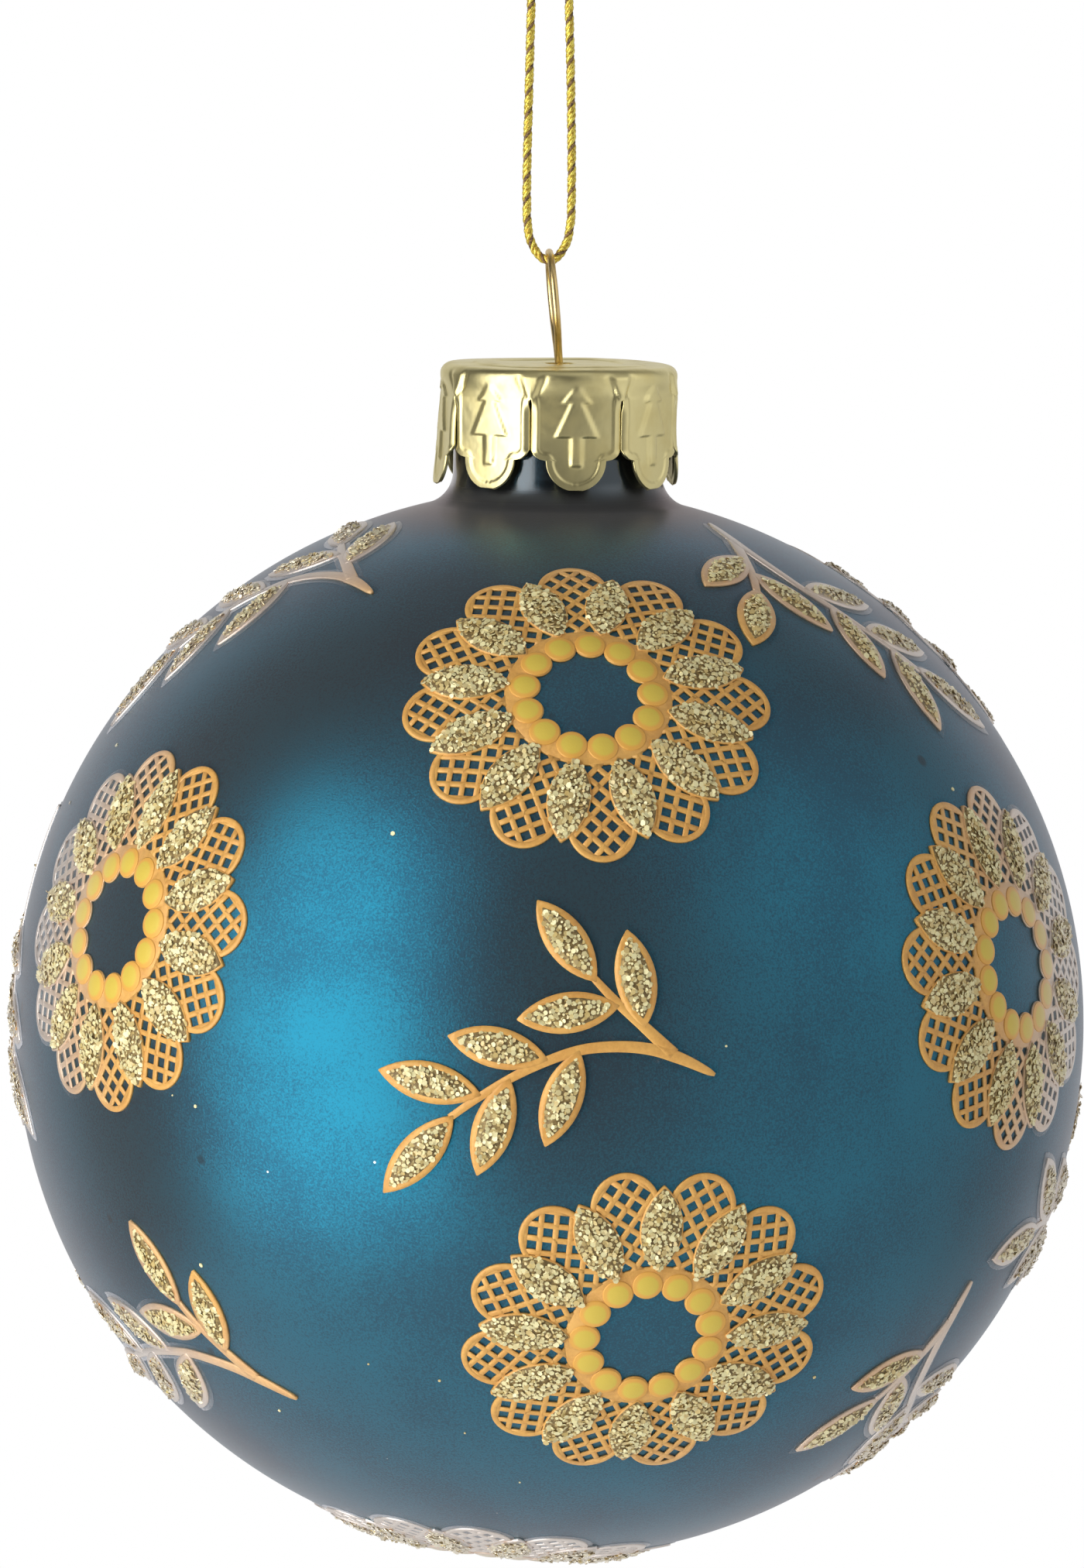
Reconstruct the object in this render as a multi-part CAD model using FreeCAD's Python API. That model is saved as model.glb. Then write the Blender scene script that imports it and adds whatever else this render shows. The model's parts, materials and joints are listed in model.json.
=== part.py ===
"""Glass bauble with a pressed cap, a wire hanger, applied lace rosettes and glitter sprigs, on a cord loop.

Millimetres and degrees. +Z is up and -Y faces the viewer. The origin is the inside top of the cord loop,
where a hook or a twig carries it, and everything else hangs below.
"""
import FreeCAD, Part
import math
import os

V = FreeCAD.Vector
X_AXIS, Y_AXIS, Z_AXIS = V(1, 0, 0), V(0, 1, 0), V(0, 0, 1)
ORIGIN = V(0, 0, 0)
FULL_TURN = 360.0

# ---- how it hangs ----
loop_drop = 40.0            # from the loop's inside top down to the centre of the hanger's top wire
eye_rise = 8.3              # from the cap's top plate up to the centre of the hanger's top wire
lean_angle = 0.85           # the ball's own axis leans to the right by this much as it hangs

# ---- blown glass ball ----
ball_diameter = 80.0
glass_wall = 0.6
neck_diameter = 15.6
neck_wall = 0.9
neck_straight = 7.72        # straight part of the neck above its fillet
neck_fillet = 2.5           # concave fillet from the ball into the neck
throat_fillet = 3.2         # the same blend on the inside
rim_round = 0.2             # the neck's rim is crowned by this much

# ---- pressed metal cap ----
cap_sheet = 0.35
cap_seat_gap = 0.1          # between the neck's rim and the underside of the cap's plate
cap_neck_gap = 0.7          # between the neck and the cap's skirt
cap_edge_radius = 1.0       # rounded edge between the plate and the skirt
cap_flare = 0.2             # the skirt is this much wider in radius at its tips
cap_tip_gap = 1.1           # between the tab tips and the ball's shoulder
cap_hole_diameter = 2.2
plate_ring_radius = 5.6     # raised ring pressed into the plate
plate_ring_width = 1.1
plate_ring_height = 0.25
tab_count = 8
tab_first_angle = 9.0       # centre of the first tab, to the right of the front
tab_slit_width = 0.22
tab_slit_drop = 2.2         # the slits start this far below the plate
tongue_width = 4.5          # each tab narrows to a tongue with a round tip
shoulder_rise = 3.3         # the slit ends and the tongue's shoulder starts this far above the tip
shoulder_bulge = 0.7        # how far the shoulder's curve bulges towards its corner, from 0.5 to 1
tree_relief = 0.16          # height of the pressed tree on each tab
tree_top_drop = 1.5         # top of the tree below the plate
tree_tier_height = 1.25     # the upper tier's height
tree_skirt_height = 2.55    # the lower tier's height
tree_trunk_height = 2.1
tree_tier_width = 2.0
tree_neck_width = 0.9       # between the two tiers
tree_skirt_width = 3.0
tree_trunk_width = 0.8

# ---- wire hanger ----
wire_diameter = 0.55
wire_hole_gap = 0.12        # between a leg and the edge of the cap's hole
eye_width = 7.6             # outside width of the round eye
eye_neck_rise = 0.7         # the two legs run side by side up to here above the plate
leg_splay_drop = 1.1        # the legs start to splay this far below the plate
leg_reach_drop = 8.6        # they come nearest to the neck's wall here
leg_tip_drop = 13.2         # ends of the legs
leg_tip_spread = 4.6        # half of the distance between the tips
leg_wall_gap = 0.35         # between a leg and the inside of the neck
leg_bend_radius = 1.3
hanger_turn = 2.6           # the eye is turned by this much from standing edge-on to the front

# ---- cord ----
cord_diameter = 0.7
knot_width = 2.5
knot_height = 3.0
knot_edge_radius = 0.45

# ---- applied ornament: layers over the glass ----
glue_gap = 0.08             # glue under each layer
lace_thickness = 0.30
film_thickness = 0.22
glitter_thickness = 0.34
bead_thickness = 0.30
dot_height = 0.35

# ---- lace rosette ----
lobe_count = 12
lobe_radius = 2.56
lobe_ring_radius = 10.92    # centres of the round lobe ends
opening_radius = 3.62       # open middle
lattice_pitch = 1.08
window_side = 0.70
lobe_border = 0.44
lattice_inner_radius = 6.57  # the lattice starts here
bead_count = 13
bead_ring_radius = 4.78
bead_diameter = 2.12
dot_diameter = 1.5
petal_root_radius = 6.04    # glitter petals between the lobes
petal_tip_radius = 12.17
petal_width = 3.0
petal_turn = 15.5           # petals are turned by this much from the lobes

# ---- leaf sprig ----
leaf_width = 2.97
leaf_border = 0.38          # film that shows round each glitter leaf
stem_width = 0.86
stem_tip_width = 0.4
cover_angle = 30.0          # an applied piece spans less than this either way, seen from the ball's centre

# Where each rosette sits on the ball: height angle, angle to the right of the front, turn of its first lobe
rosette_places = [
    (42.4, 4.8, 3.0),
    (13.0, -54.9, 7.3),
    (9.8, 60.5, 23.4),
    (-28.9, 12.3, 14.2),
    (-82.0, -45.0, -10.0),
    (43.7, 116.0, 10.0),
    (25.0, 176.0, 20.0),
    (37.0, -127.0, 8.0),
    (-47.0, -166.5, 12.0),
]

# Where each sprig sits: height angle, angle to the right of the front, turn of the sprig
sprig_places = [
    (3.6, -0.9, 0.0),
    (55.7, -70.6, 24.6),
    (53.0, 56.4, 94.0),
    (-33.1, -57.2, -16.2),
    (-42.9, 63.3, 110.4),
    (-18.4, 86.9, -30.0),
    (5.0, -92.6, 90.0),
    (-4.4, -144.0, 12.0),
    (-14.2, 159.5, 75.0),
    (-34.8, -108.7, -25.0),
    (-48.8, 126.0, 20.0),
    (0.8, 121.0, 100.0),
]

# The sprig's stems and leaves, to the right and up from its middle
main_stem_points = [
    (12.54, -2.01),
    (10.24, -0.86),
    (7.66, -0.05),
    (4.4, 0.0),
    (1.91, -0.48),
    (-1.53, -2.01),
    (-4.31, -3.73),
    (-6.51, -5.36),
]
side_stem_points = [(9.25, -0.35), (7.18, 1.63), (5.36, 3.16), (3.73, 4.88)]
leaf_ends = [
    ((-6.22, -5.17), (-11.29, -11.01)),
    ((-4.21, -3.68), (-11.77, -2.01)),
    ((0.57, -1.05), (-6.79, 0.57)),
    ((-2.2, -2.39), (-4.5, -9.57)),
    ((2.78, -0.29), (0.38, -7.37)),
    ((5.65, 2.92), (-1.82, 1.82)),
    ((3.92, 4.59), (-0.48, 10.43)),
    ((7.46, 1.34), (6.03, 8.42)),
]

# The cord's route, from the knot down the left strand, under the wire and up the right strand
cord_route = [
    (-0.40, 0.00, 0.40),
    (-0.86, 0.06, -9.5),
    (-1.28, 0.10, -19.0),
    (-1.50, 0.04, -27.5),
    (-1.70, 0.00, -34.8),
    (-1.64, 0.00, -39.0),
    (-0.50, 0.00, -40.76),
    (0.50, 0.00, -40.76),
    (1.60, 0.00, -38.9),
    (1.69, 0.00, -34.6),
    (1.62, -0.05, -27.6),
    (1.42, -0.08, -19.2),
    (0.92, -0.04, -9.3),
    (0.40, 0.00, 0.40),
]
# The cord's two ends, from the top of the knot
left_tail_route = [(-0.40, 0.00, 0.0), (-0.62, 0.10, 2.5), (-1.35, 0.25, 4.9), (-1.60, 0.65, 7.4)]
right_tail_route = [(0.40, 0.00, 0.0), (0.75, -0.12, 2.2), (1.30, -0.10, 4.2), (2.35, 0.20, 5.9)]
run_share = 0.45            # a bend takes this share of the shorter run beside it

# ---- sizes that follow ----
ball_radius = ball_diameter / 2
neck_radius = neck_diameter / 2
throat_radius = neck_radius - neck_wall
cord_radius = cord_diameter / 2
wire_radius = wire_diameter / 2


def fillet_centre_height(sphere_radius, tube_radius, fillet):
    """Height above the ball's centre of a fillet circle that touches both the sphere and the tube."""
    return math.sqrt((sphere_radius + fillet) ** 2 - (tube_radius + fillet) ** 2)


shoulder_height = fillet_centre_height(ball_radius, neck_radius, neck_fillet)
neck_top = shoulder_height + neck_straight
plate_bottom = neck_top + cap_seat_gap
cap_top = plate_bottom + cap_sheet
skirt_inner_radius = neck_radius + cap_neck_gap
skirt_radius = skirt_inner_radius + cap_sheet


def shoulder_at(radius):
    """Height of the glass at a distance from the axis, on the fillet or the sphere."""
    touch_radius = (neck_radius + neck_fillet) * ball_radius / (ball_radius + neck_fillet)
    if radius >= touch_radius:
        return math.sqrt(ball_radius**2 - radius**2)
    return shoulder_height - math.sqrt(neck_fillet**2 - (neck_radius + neck_fillet - radius) ** 2)


tip_height = shoulder_at(skirt_inner_radius + cap_flare) + cap_tip_gap
lean = math.radians(lean_angle)
ball_centre = V(0, 0, -loop_drop - eye_rise - cap_top * math.cos(lean))
axis_up = V(math.sin(lean), 0, math.cos(lean))
hole_centre = ball_centre + axis_up * cap_top
eye_centre = V(0, 0, -loop_drop)


def set_in_ball(shape):
    """The shape, drawn about the ball's centre with its axis upright, as it hangs in the part."""
    placed = shape.copy()
    placed.rotate(ORIGIN, Y_AXIS, lean_angle)
    placed.translate(ball_centre)
    return placed


def set_on_glass(shape, height_angle, side_angle, turn):
    """The shape, drawn over the top of the ball, carried to its place on the glass."""
    up, side = math.radians(height_angle), math.radians(side_angle)
    outward = V(math.cos(up) * math.sin(side), -math.cos(up) * math.cos(side), math.sin(up))
    rightward = V(math.cos(side), math.sin(side), 0)
    placed = shape.copy()
    placed.rotate(ORIGIN, Z_AXIS, turn)
    spot = FreeCAD.Placement(ORIGIN, FreeCAD.Rotation(rightward, outward.cross(rightward), outward, "ZXY"))
    placed.Placement = spot.multiply(placed.Placement)
    return set_in_ball(placed)


def polar(radius, angle, height=0.0):
    """A point at a radius and an angle about the upright axis."""
    turn = math.radians(angle)
    return V(radius * math.cos(turn), radius * math.sin(turn), height)


def unit(vector):
    """The vector at a length of one."""
    return vector * (1.0 / vector.Length)


def rounded_edges(points, radii):
    """Straight runs between the points, joined at each inner point by a tangent arc of the radius given."""
    edges = []
    start = points[0]
    for before, corner, after, radius in zip(points, points[1:], points[2:], radii):
        arriving, leaving = unit(corner - before), unit(after - corner)
        turn = arriving.getAngle(leaving)
        reach = radius * math.tan(turn / 2)
        arc_start, arc_end = corner - arriving * reach, corner + leaving * reach
        inward = unit(leaving - arriving)
        middle = corner + inward * (radius / math.cos(turn / 2) - radius)
        edges.append(Part.LineSegment(start, arc_start).toShape())
        edges.append(Part.Arc(arc_start, middle, arc_end).toShape())
        start = arc_end
    edges.append(Part.LineSegment(start, points[-1]).toShape())
    return edges


def tube_along(edges, radius):
    """A round solid bar along tangent edges."""
    path = Part.Wire(edges)
    start = edges[0].valueAt(edges[0].FirstParameter)
    heading = edges[0].tangentAt(edges[0].FirstParameter)
    section = Part.Wire([Part.makeCircle(radius, start, heading)])
    return path.makePipeShell([section], True, False)


def cord_along(name, route):
    """A cord's tube: each bend is as large as its two runs allow. Prints its bends and compares volumes."""
    points = [V(*place) for place in route]
    radii = []
    for before, corner, after in zip(points, points[1:], points[2:]):
        shorter = min((corner - before).Length, (after - corner).Length)
        turn = (corner - before).getAngle(after - corner)
        radii.append(run_share * shorter / math.tan(turn / 2))
    edges = rounded_edges(points, radii)
    tube = tube_along(edges, cord_radius)
    length = sum(edge.Length for edge in edges)
    expected = math.pi * cord_radius**2 * length
    print(name, "bend radii", [round(radius, 2) for radius in radii])
    print(name, "length", round(length, 2), "volume", round(tube.Volume, 3), "expected", round(expected, 3))
    return tube


def glass_outline(sphere_radius, tube_radius, fillet):
    """Edges of a ball's half section: up the sphere, round the fillet and up the neck."""
    centre_height = fillet_centre_height(sphere_radius, tube_radius, fillet)
    centre = V(tube_radius + fillet, 0, centre_height)
    share = sphere_radius / (sphere_radius + fillet)
    touch = V(centre.x * share, 0, centre.z * share)
    side = V(sphere_radius, 0, 0)
    bottom = V(0, 0, -sphere_radius)
    bend_angle = math.radians(180) + math.atan2(centre.z, centre.x) / 2
    bend = centre + V(math.cos(bend_angle), 0, math.sin(bend_angle)) * fillet
    neck_start = V(tube_radius, 0, centre_height)
    return [
        Part.Arc(bottom, side, touch).toShape(),
        Part.Arc(touch, bend, neck_start).toShape(),
        Part.LineSegment(neck_start, V(tube_radius, 0, neck_top - rim_round)).toShape(),
    ]


def make_glass_ball():
    """Blown ball with an open neck, one even wall turned about the upright axis."""
    outer = glass_outline(ball_radius, neck_radius, neck_fillet)
    inner = glass_outline(ball_radius - glass_wall, throat_radius, throat_fillet)
    rim_ends = [V(radius, 0, neck_top - rim_round) for radius in (neck_radius, throat_radius)]
    rim = Part.Arc(rim_ends[0], V((neck_radius + throat_radius) / 2, 0, neck_top), rim_ends[1]).toShape()
    foot = Part.LineSegment(V(0, 0, glass_wall - ball_radius), V(0, 0, -ball_radius)).toShape()
    section = Part.Face(Part.Wire(Part.__sortEdges__(outer + [rim] + inner + [foot])))
    return section.revolve(ORIGIN, Z_AXIS, FULL_TURN)


def facing(outline):
    """A flat face from edges given in the upright plane or the level plane."""
    return Part.Face(Part.Wire(Part.__sortEdges__(outline)))


def polygon(points):
    """A flat face through the points."""
    return Part.Face(Part.makePolygon(points + [points[0]]))


def mirrored(points):
    """The half outline's points followed by their mirror images, back to the start."""
    return points + [V(-point.x, point.y, point.z) for point in reversed(points)]


def cap_section():
    """Half section of the pressed cap: plate with a raised ring, rounded edge and flared skirt."""
    hole_radius = cap_hole_diameter / 2
    ring_start = plate_ring_radius - plate_ring_width / 2
    ring_end = plate_ring_radius + plate_ring_width / 2
    bend_height = cap_top - cap_edge_radius
    bend_radius = skirt_radius - cap_edge_radius
    edges = []
    outside = (cap_top, skirt_radius, cap_edge_radius)
    inside = (plate_bottom, skirt_inner_radius, cap_edge_radius - cap_sheet)
    for level, radius, bend in (outside, inside):
        corner = V(bend_radius, 0, bend_height) + V(1, 0, 1) * (bend / math.sqrt(2))
        edges += [
            Part.LineSegment(V(hole_radius, 0, level), V(ring_start, 0, level)).toShape(),
            Part.Arc(
                V(ring_start, 0, level),
                V(plate_ring_radius, 0, level + plate_ring_height),
                V(ring_end, 0, level),
            ).toShape(),
            Part.LineSegment(V(ring_end, 0, level), V(bend_radius, 0, level)).toShape(),
            Part.Arc(V(bend_radius, 0, level), corner, V(radius, 0, bend_height)).toShape(),
            Part.LineSegment(V(radius, 0, bend_height), V(radius + cap_flare, 0, tip_height)).toShape(),
        ]
    edges.append(Part.LineSegment(V(hole_radius, 0, cap_top), V(hole_radius, 0, plate_bottom)).toShape())
    tips = [V(radius + cap_flare, 0, tip_height) for radius in (skirt_radius, skirt_inner_radius)]
    edges.append(Part.LineSegment(*tips).toShape())
    return facing(edges)


def towards_front(face):
    """The upright face carried from the axis to well outside the cap's front."""
    return face.extrude(V(0, -2 * (skirt_radius + cap_flare), 0))


def tab_block(slit_top):
    """A block with one tab's outline: square shoulders that narrow to a round-tipped tongue."""
    half_pitch = (skirt_radius + cap_flare) * math.sin(math.pi / tab_count)
    half_tongue = tongue_width / 2
    shoulder = tip_height + shoulder_rise
    round_start = tip_height + half_tongue
    edges = [Part.LineSegment(V(-half_pitch, 0, slit_top), V(half_pitch, 0, slit_top)).toShape()]
    for side in (-1, 1):
        bulge_x = half_pitch - (1 - shoulder_bulge) * (half_pitch - half_tongue)
        bulge = V(side * bulge_x, 0, shoulder - shoulder_bulge * (shoulder - round_start))
        corner = V(side * half_pitch, 0, shoulder)
        edges.append(Part.LineSegment(V(side * half_pitch, 0, slit_top), corner).toShape())
        edges.append(Part.Arc(corner, bulge, V(side * half_tongue, 0, round_start)).toShape())
    tongue_ends = [V(side * half_tongue, 0, round_start) for side in (-1, 1)]
    edges.append(Part.Arc(tongue_ends[0], V(0, 0, tip_height), tongue_ends[1]).toShape())
    return towards_front(facing(edges))


def tree_block():
    """A block with the outline of a two-tier fir tree."""
    top = cap_top - tree_top_drop
    tier_base = top - tree_tier_height
    skirt_base = tier_base - tree_skirt_height
    trunk_base = skirt_base - tree_trunk_height
    half_outline = [
        V(tree_tier_width / 2, 0, tier_base),
        V(tree_neck_width / 2, 0, tier_base),
        V(tree_skirt_width / 2, 0, skirt_base),
        V(tree_trunk_width / 2, 0, skirt_base),
        V(tree_trunk_width / 2, 0, trunk_base),
    ]
    return towards_front(polygon([V(0, 0, top)] + mirrored(half_outline)))


def relief_band():
    """A thin sleeve that starts inside the skirt's sheet and stands proud of it by the tree's relief."""
    bend_height = cap_top - cap_edge_radius
    sunk = cap_sheet / 2
    section = polygon([
        V(skirt_radius - sunk, 0, bend_height),
        V(skirt_radius + tree_relief, 0, bend_height),
        V(skirt_radius + cap_flare + tree_relief, 0, tip_height),
        V(skirt_radius + cap_flare - sunk, 0, tip_height),
    ])
    return section.revolve(ORIGIN, Z_AXIS, FULL_TURN)


def turned(shape, angle):
    """A copy of the shape, turned about the upright axis."""
    copy = shape.copy()
    copy.rotate(ORIGIN, Z_AXIS, angle)
    return copy


def make_cap():
    """Pressed sheet cap: a cup whose skirt is slit into round-tipped tabs, each with a tree in relief."""
    cup = cap_section().revolve(ORIGIN, Z_AXIS, FULL_TURN)
    slit_top = cap_top - tab_slit_drop
    reach = skirt_radius + cap_flare + tree_relief
    below = Part.makeCylinder(2 * reach, slit_top, ORIGIN)
    pitch = FULL_TURN / tab_count
    angles = [tab_first_angle + pitch * index for index in range(tab_count)]
    tab = tab_block(slit_top)
    tree = tree_block().common(relief_band())
    skirt = cup.common(below)
    pieces = [skirt.common(turned(tab, angle)) for angle in angles]
    pieces += [turned(tree, angle) for angle in angles]
    slit = Part.makeBox(tab_slit_width, 2 * reach, slit_top, V(-tab_slit_width / 2, -2 * reach, 0))
    slits = [turned(slit, angle + pitch / 2) for angle in angles]
    whole = cup.cut(below).multiFuse(pieces)
    return set_in_ball(whole.cut(slits).removeSplitter())


def hanger_point(across, rise):
    """A point in the hanger's own plane, which leans from the cap's hole to the cord's bight."""
    upward = unit(eye_centre - hole_centre)
    return hole_centre + Y_AXIS * across + upward * rise


def make_wire_hanger():
    """One springy wire: a round eye above the cap, and two legs that pass its hole and splay in the neck."""
    eye_radius = (eye_width - wire_diameter) / 2
    eye_top = (eye_centre - hole_centre).Length
    eye_middle = eye_top - eye_radius
    leg_side = cap_hole_diameter / 2 - wire_radius - wire_hole_gap
    slope = math.atan2(eye_neck_rise - eye_middle, leg_side)
    distance = math.hypot(eye_neck_rise - eye_middle, leg_side)
    touch_angle = slope + math.acos(eye_radius / distance)
    touch = (eye_radius * math.cos(touch_angle), eye_middle + eye_radius * math.sin(touch_angle))
    hanger_lean = math.atan2(hole_centre.x, eye_rise) + lean
    drift = leg_reach_drop * math.sin(hanger_lean)
    reach = math.sqrt((throat_radius - leg_wall_gap - wire_radius) ** 2 - drift**2)
    leg = [
        (leg_tip_spread, -leg_tip_drop),
        (reach, -leg_reach_drop),
        (leg_side, -cap_sheet - leg_splay_drop),
        (leg_side, eye_neck_rise),
        touch,
    ]
    radii = [leg_bend_radius, leg_bend_radius, leg_bend_radius]
    right = rounded_edges([hanger_point(across, rise) for across, rise in leg], radii)
    left = rounded_edges([hanger_point(-across, rise) for across, rise in reversed(leg)], radii)
    arc_ends = [hanger_point(side * touch[0], touch[1]) for side in (1, -1)]
    eye = Part.Arc(arc_ends[0], hanger_point(0, eye_top), arc_ends[1]).toShape()
    hanger = tube_along(right + [eye] + left, wire_radius)
    hanger.rotate(hole_centre, eye_centre - hole_centre, hanger_turn)
    return hanger


def make_cord_knot():
    """The knot that closes the loop, a plain barrel here, with the cord's two cut ends above it."""
    knot_bottom = cord_route[0][2]
    barrel = Part.makeCylinder(knot_width / 2, knot_height, V(0, 0, knot_bottom))
    rims = [edge for edge in barrel.Edges if len(edge.Vertexes) == 1]
    barrel = barrel.makeFillet(knot_edge_radius, rims)
    knot_top = knot_bottom + knot_height
    tails = []
    for name, route in (("left_tail", left_tail_route), ("right_tail", right_tail_route)):
        tails.append(cord_along(name, [(x, y, z + knot_top) for x, y, z in route]))
    return barrel.multiFuse(tails)


def wrapped(face, rise, thickness):
    """The flat face carried onto the ball's top as a layer, at a rise over the glass and of a thickness."""
    outer_radius = ball_radius + rise + thickness
    block_start = ball_radius * math.cos(math.radians(cover_angle))
    block = face.extrude(V(0, 0, 2 * ball_radius - block_start))
    block.translate(V(0, 0, block_start))
    outer = Part.makeSphere(outer_radius, ORIGIN, Y_AXIS)
    inner = Part.makeSphere(ball_radius + rise, ORIGIN, Y_AXIS)
    return block.common(outer).cut(inner)


def pointed_oval(start, end, width, border=0.0):
    """A leaf between two points: two arcs that meet in points. A border moves both arcs inwards."""
    along = end - start
    half_length, half_width = along.Length / 2, width / 2
    arc_radius = (half_length**2 + half_width**2) / (2 * half_width)
    inner_radius = arc_radius - border
    half_length = math.sqrt(inner_radius**2 - (arc_radius - half_width) ** 2)
    middle = (start + end) * 0.5
    ahead = unit(along)
    across = Z_AXIS.cross(ahead)
    tips = [middle - ahead * half_length, middle + ahead * half_length]
    sides = [middle + across * side * (half_width - border) for side in (-1, 1)]
    return facing([Part.Arc(tips[0], side, tips[1]).toShape() for side in sides])


def lattice_windows():
    """Square windows of one lobe, set on their corners, wherever a whole window fits inside the border."""
    half_diagonal = window_side / math.sqrt(2)
    step = lattice_pitch / math.sqrt(2)
    half_wedge = math.pi / lobe_count
    columns = int((lobe_ring_radius + lobe_radius - lattice_inner_radius) / step) + 1
    rows = int(lobe_radius / step) + 1
    faces = []
    for column in range(columns):
        for row in range(-rows, rows + 1):
            middle = V(lattice_inner_radius + half_diagonal + column * step, row * step, 0)
            if (column + row) % 2:
                continue
            room = lobe_radius - lobe_border - half_diagonal
            past_centre = max(0.0, middle.x - lobe_ring_radius)
            in_lobe = math.hypot(past_centre, middle.y) < room
            side_room = (middle.x * math.tan(half_wedge) - abs(middle.y)) * math.cos(half_wedge)
            if in_lobe and side_room > half_diagonal:
                corners = [V(1, 0, 0), V(0, 1, 0), V(-1, 0, 0), V(0, -1, 0)]
                faces.append(polygon([middle + corner * half_diagonal for corner in corners]))
    return faces


def lobe_outline():
    """One lobe's share of the rosette: a wedge from the open middle that ends in a round lobe."""
    half_wedge = math.pi / lobe_count
    half_angle = math.degrees(half_wedge)
    neck_x = lobe_radius / math.tan(half_wedge)
    start, end = polar(opening_radius, -half_angle), polar(opening_radius, half_angle)
    edges = [Part.Arc(start, V(opening_radius, 0, 0), end).toShape()]
    for side, root in ((-1, start), (1, end)):
        neck = V(neck_x, side * lobe_radius, 0)
        round_start = V(lobe_ring_radius, side * lobe_radius, 0)
        edges.append(Part.LineSegment(root, neck).toShape())
        edges.append(Part.LineSegment(neck, round_start).toShape())
    tip = V(lobe_ring_radius + lobe_radius, 0, 0)
    sides = [V(lobe_ring_radius, side * lobe_radius, 0) for side in (-1, 1)]
    edges.append(Part.Arc(sides[0], tip, sides[1]).toShape())
    return facing(edges)


def make_lace_rosette():
    """Flat lace flower on the glass: lattice lobes round an open middle, in one piece."""
    lobe = wrapped(lobe_outline().cut(lattice_windows()), glue_gap, lace_thickness)
    lobes = [turned(lobe, FULL_TURN * index / lobe_count) for index in range(lobe_count)]
    return lobes[0].multiFuse(lobes[1:]).removeSplitter()


def make_glitter_petals():
    """Glitter petals between the lobes, on top of the lace."""
    rise = glue_gap + lace_thickness + glue_gap
    outline = pointed_oval(V(petal_root_radius, 0, 0), V(petal_tip_radius, 0, 0), petal_width)
    petal = wrapped(outline, rise, glitter_thickness)
    pitch = FULL_TURN / lobe_count
    return Part.makeCompound([turned(petal, petal_turn + pitch * index) for index in range(lobe_count)])


def make_bead_ring():
    """A ring of flat beads with a raised dot on each, on top of the lace."""
    base_radius, dot_radius = bead_diameter / 2, dot_diameter / 2
    dot_curve = (dot_radius**2 + dot_height**2) / (2 * dot_height)
    half_way = math.asin(dot_radius / dot_curve) / 2
    dot_top = V(0, 0, bead_thickness + dot_height)
    dot_side = dot_top + V(math.sin(half_way), 0, math.cos(half_way) - 1) * dot_curve
    section = facing([
        Part.LineSegment(ORIGIN, V(base_radius, 0, 0)).toShape(),
        Part.LineSegment(V(base_radius, 0, 0), V(base_radius, 0, bead_thickness)).toShape(),
        Part.LineSegment(V(base_radius, 0, bead_thickness), V(dot_radius, 0, bead_thickness)).toShape(),
        Part.Arc(V(dot_radius, 0, bead_thickness), dot_side, dot_top).toShape(),
        Part.LineSegment(dot_top, ORIGIN).toShape(),
    ])
    bead = section.revolve(ORIGIN, Z_AXIS, FULL_TURN)
    bead.translate(V(0, 0, ball_radius + glue_gap + lace_thickness + glue_gap))
    bead.rotate(ORIGIN, Y_AXIS, math.degrees(bead_ring_radius / ball_radius))
    return Part.makeCompound([turned(bead, FULL_TURN * index / bead_count) for index in range(bead_count)])


def tapered_stem(places, start_width, end_width):
    """A flat ribbon that follows the places and narrows from one width to the other."""
    points = [V(x, y, 0) for x, y in places]
    sides = [[], []]
    for index, point in enumerate(points):
        before, after = points[max(index - 1, 0)], points[min(index + 1, len(points) - 1)]
        across = Z_AXIS.cross(unit(after - before))
        width = start_width + (end_width - start_width) * index / (len(points) - 1)
        sides[0].append(point + across * (width / 2))
        sides[1].append(point - across * (width / 2))
    curves = []
    for side in sides:
        curve = Part.BSplineCurve()
        curve.interpolate(side)
        curves.append(curve.toShape())
    ends = [Part.LineSegment(sides[0][end], sides[1][end]).toShape() for end in (0, -1)]
    return facing(curves + ends)


def make_sprig_film():
    """Clear film of one sprig: its stems and the full outline of its leaves."""
    leaves = [pointed_oval(V(*base, 0), V(*tip, 0), leaf_width) for base, tip in leaf_ends]
    stems = [
        tapered_stem(main_stem_points, stem_width, stem_tip_width),
        tapered_stem(side_stem_points, stem_width, stem_tip_width),
    ]
    layers = [wrapped(face, glue_gap, film_thickness) for face in stems + leaves]
    return layers[0].multiFuse(layers[1:]).removeSplitter()


def make_glitter_leaves():
    """Glitter of one sprig: a pointed oval on each leaf, inside the film's border."""
    rise = glue_gap + film_thickness + glue_gap
    faces = [pointed_oval(V(*base, 0), V(*tip, 0), leaf_width, leaf_border) for base, tip in leaf_ends]
    return Part.makeCompound([wrapped(face, rise, glitter_thickness) for face in faces])


def build():
    """Every sub-part of the bauble by name."""
    nodes = {
        "glass_ball": set_in_ball(make_glass_ball()),
        "cap": make_cap(),
        "wire_hanger": make_wire_hanger(),
        "hanging_cord": cord_along("hanging_cord", cord_route),
        "cord_knot": make_cord_knot(),
    }
    rosette = {
        "lace_rosette": make_lace_rosette(),
        "bead_ring": make_bead_ring(),
        "glitter_petals": make_glitter_petals(),
    }
    for number, place in enumerate(rosette_places, start=1):
        for name, shape in rosette.items():
            nodes[f"{name}_{number}"] = set_on_glass(shape, *place)
    sprig = {"sprig_film": make_sprig_film(), "glitter_leaves": make_glitter_leaves()}
    for number, place in enumerate(sprig_places, start=1):
        for name, shape in sprig.items():
            nodes[f"{name}_{number}"] = set_on_glass(shape, *place)
    return nodes


os.makedirs("parts", exist_ok=True)
for node_name, solid in build().items():
    solid.exportStep(f"parts/{node_name}.step")
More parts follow.
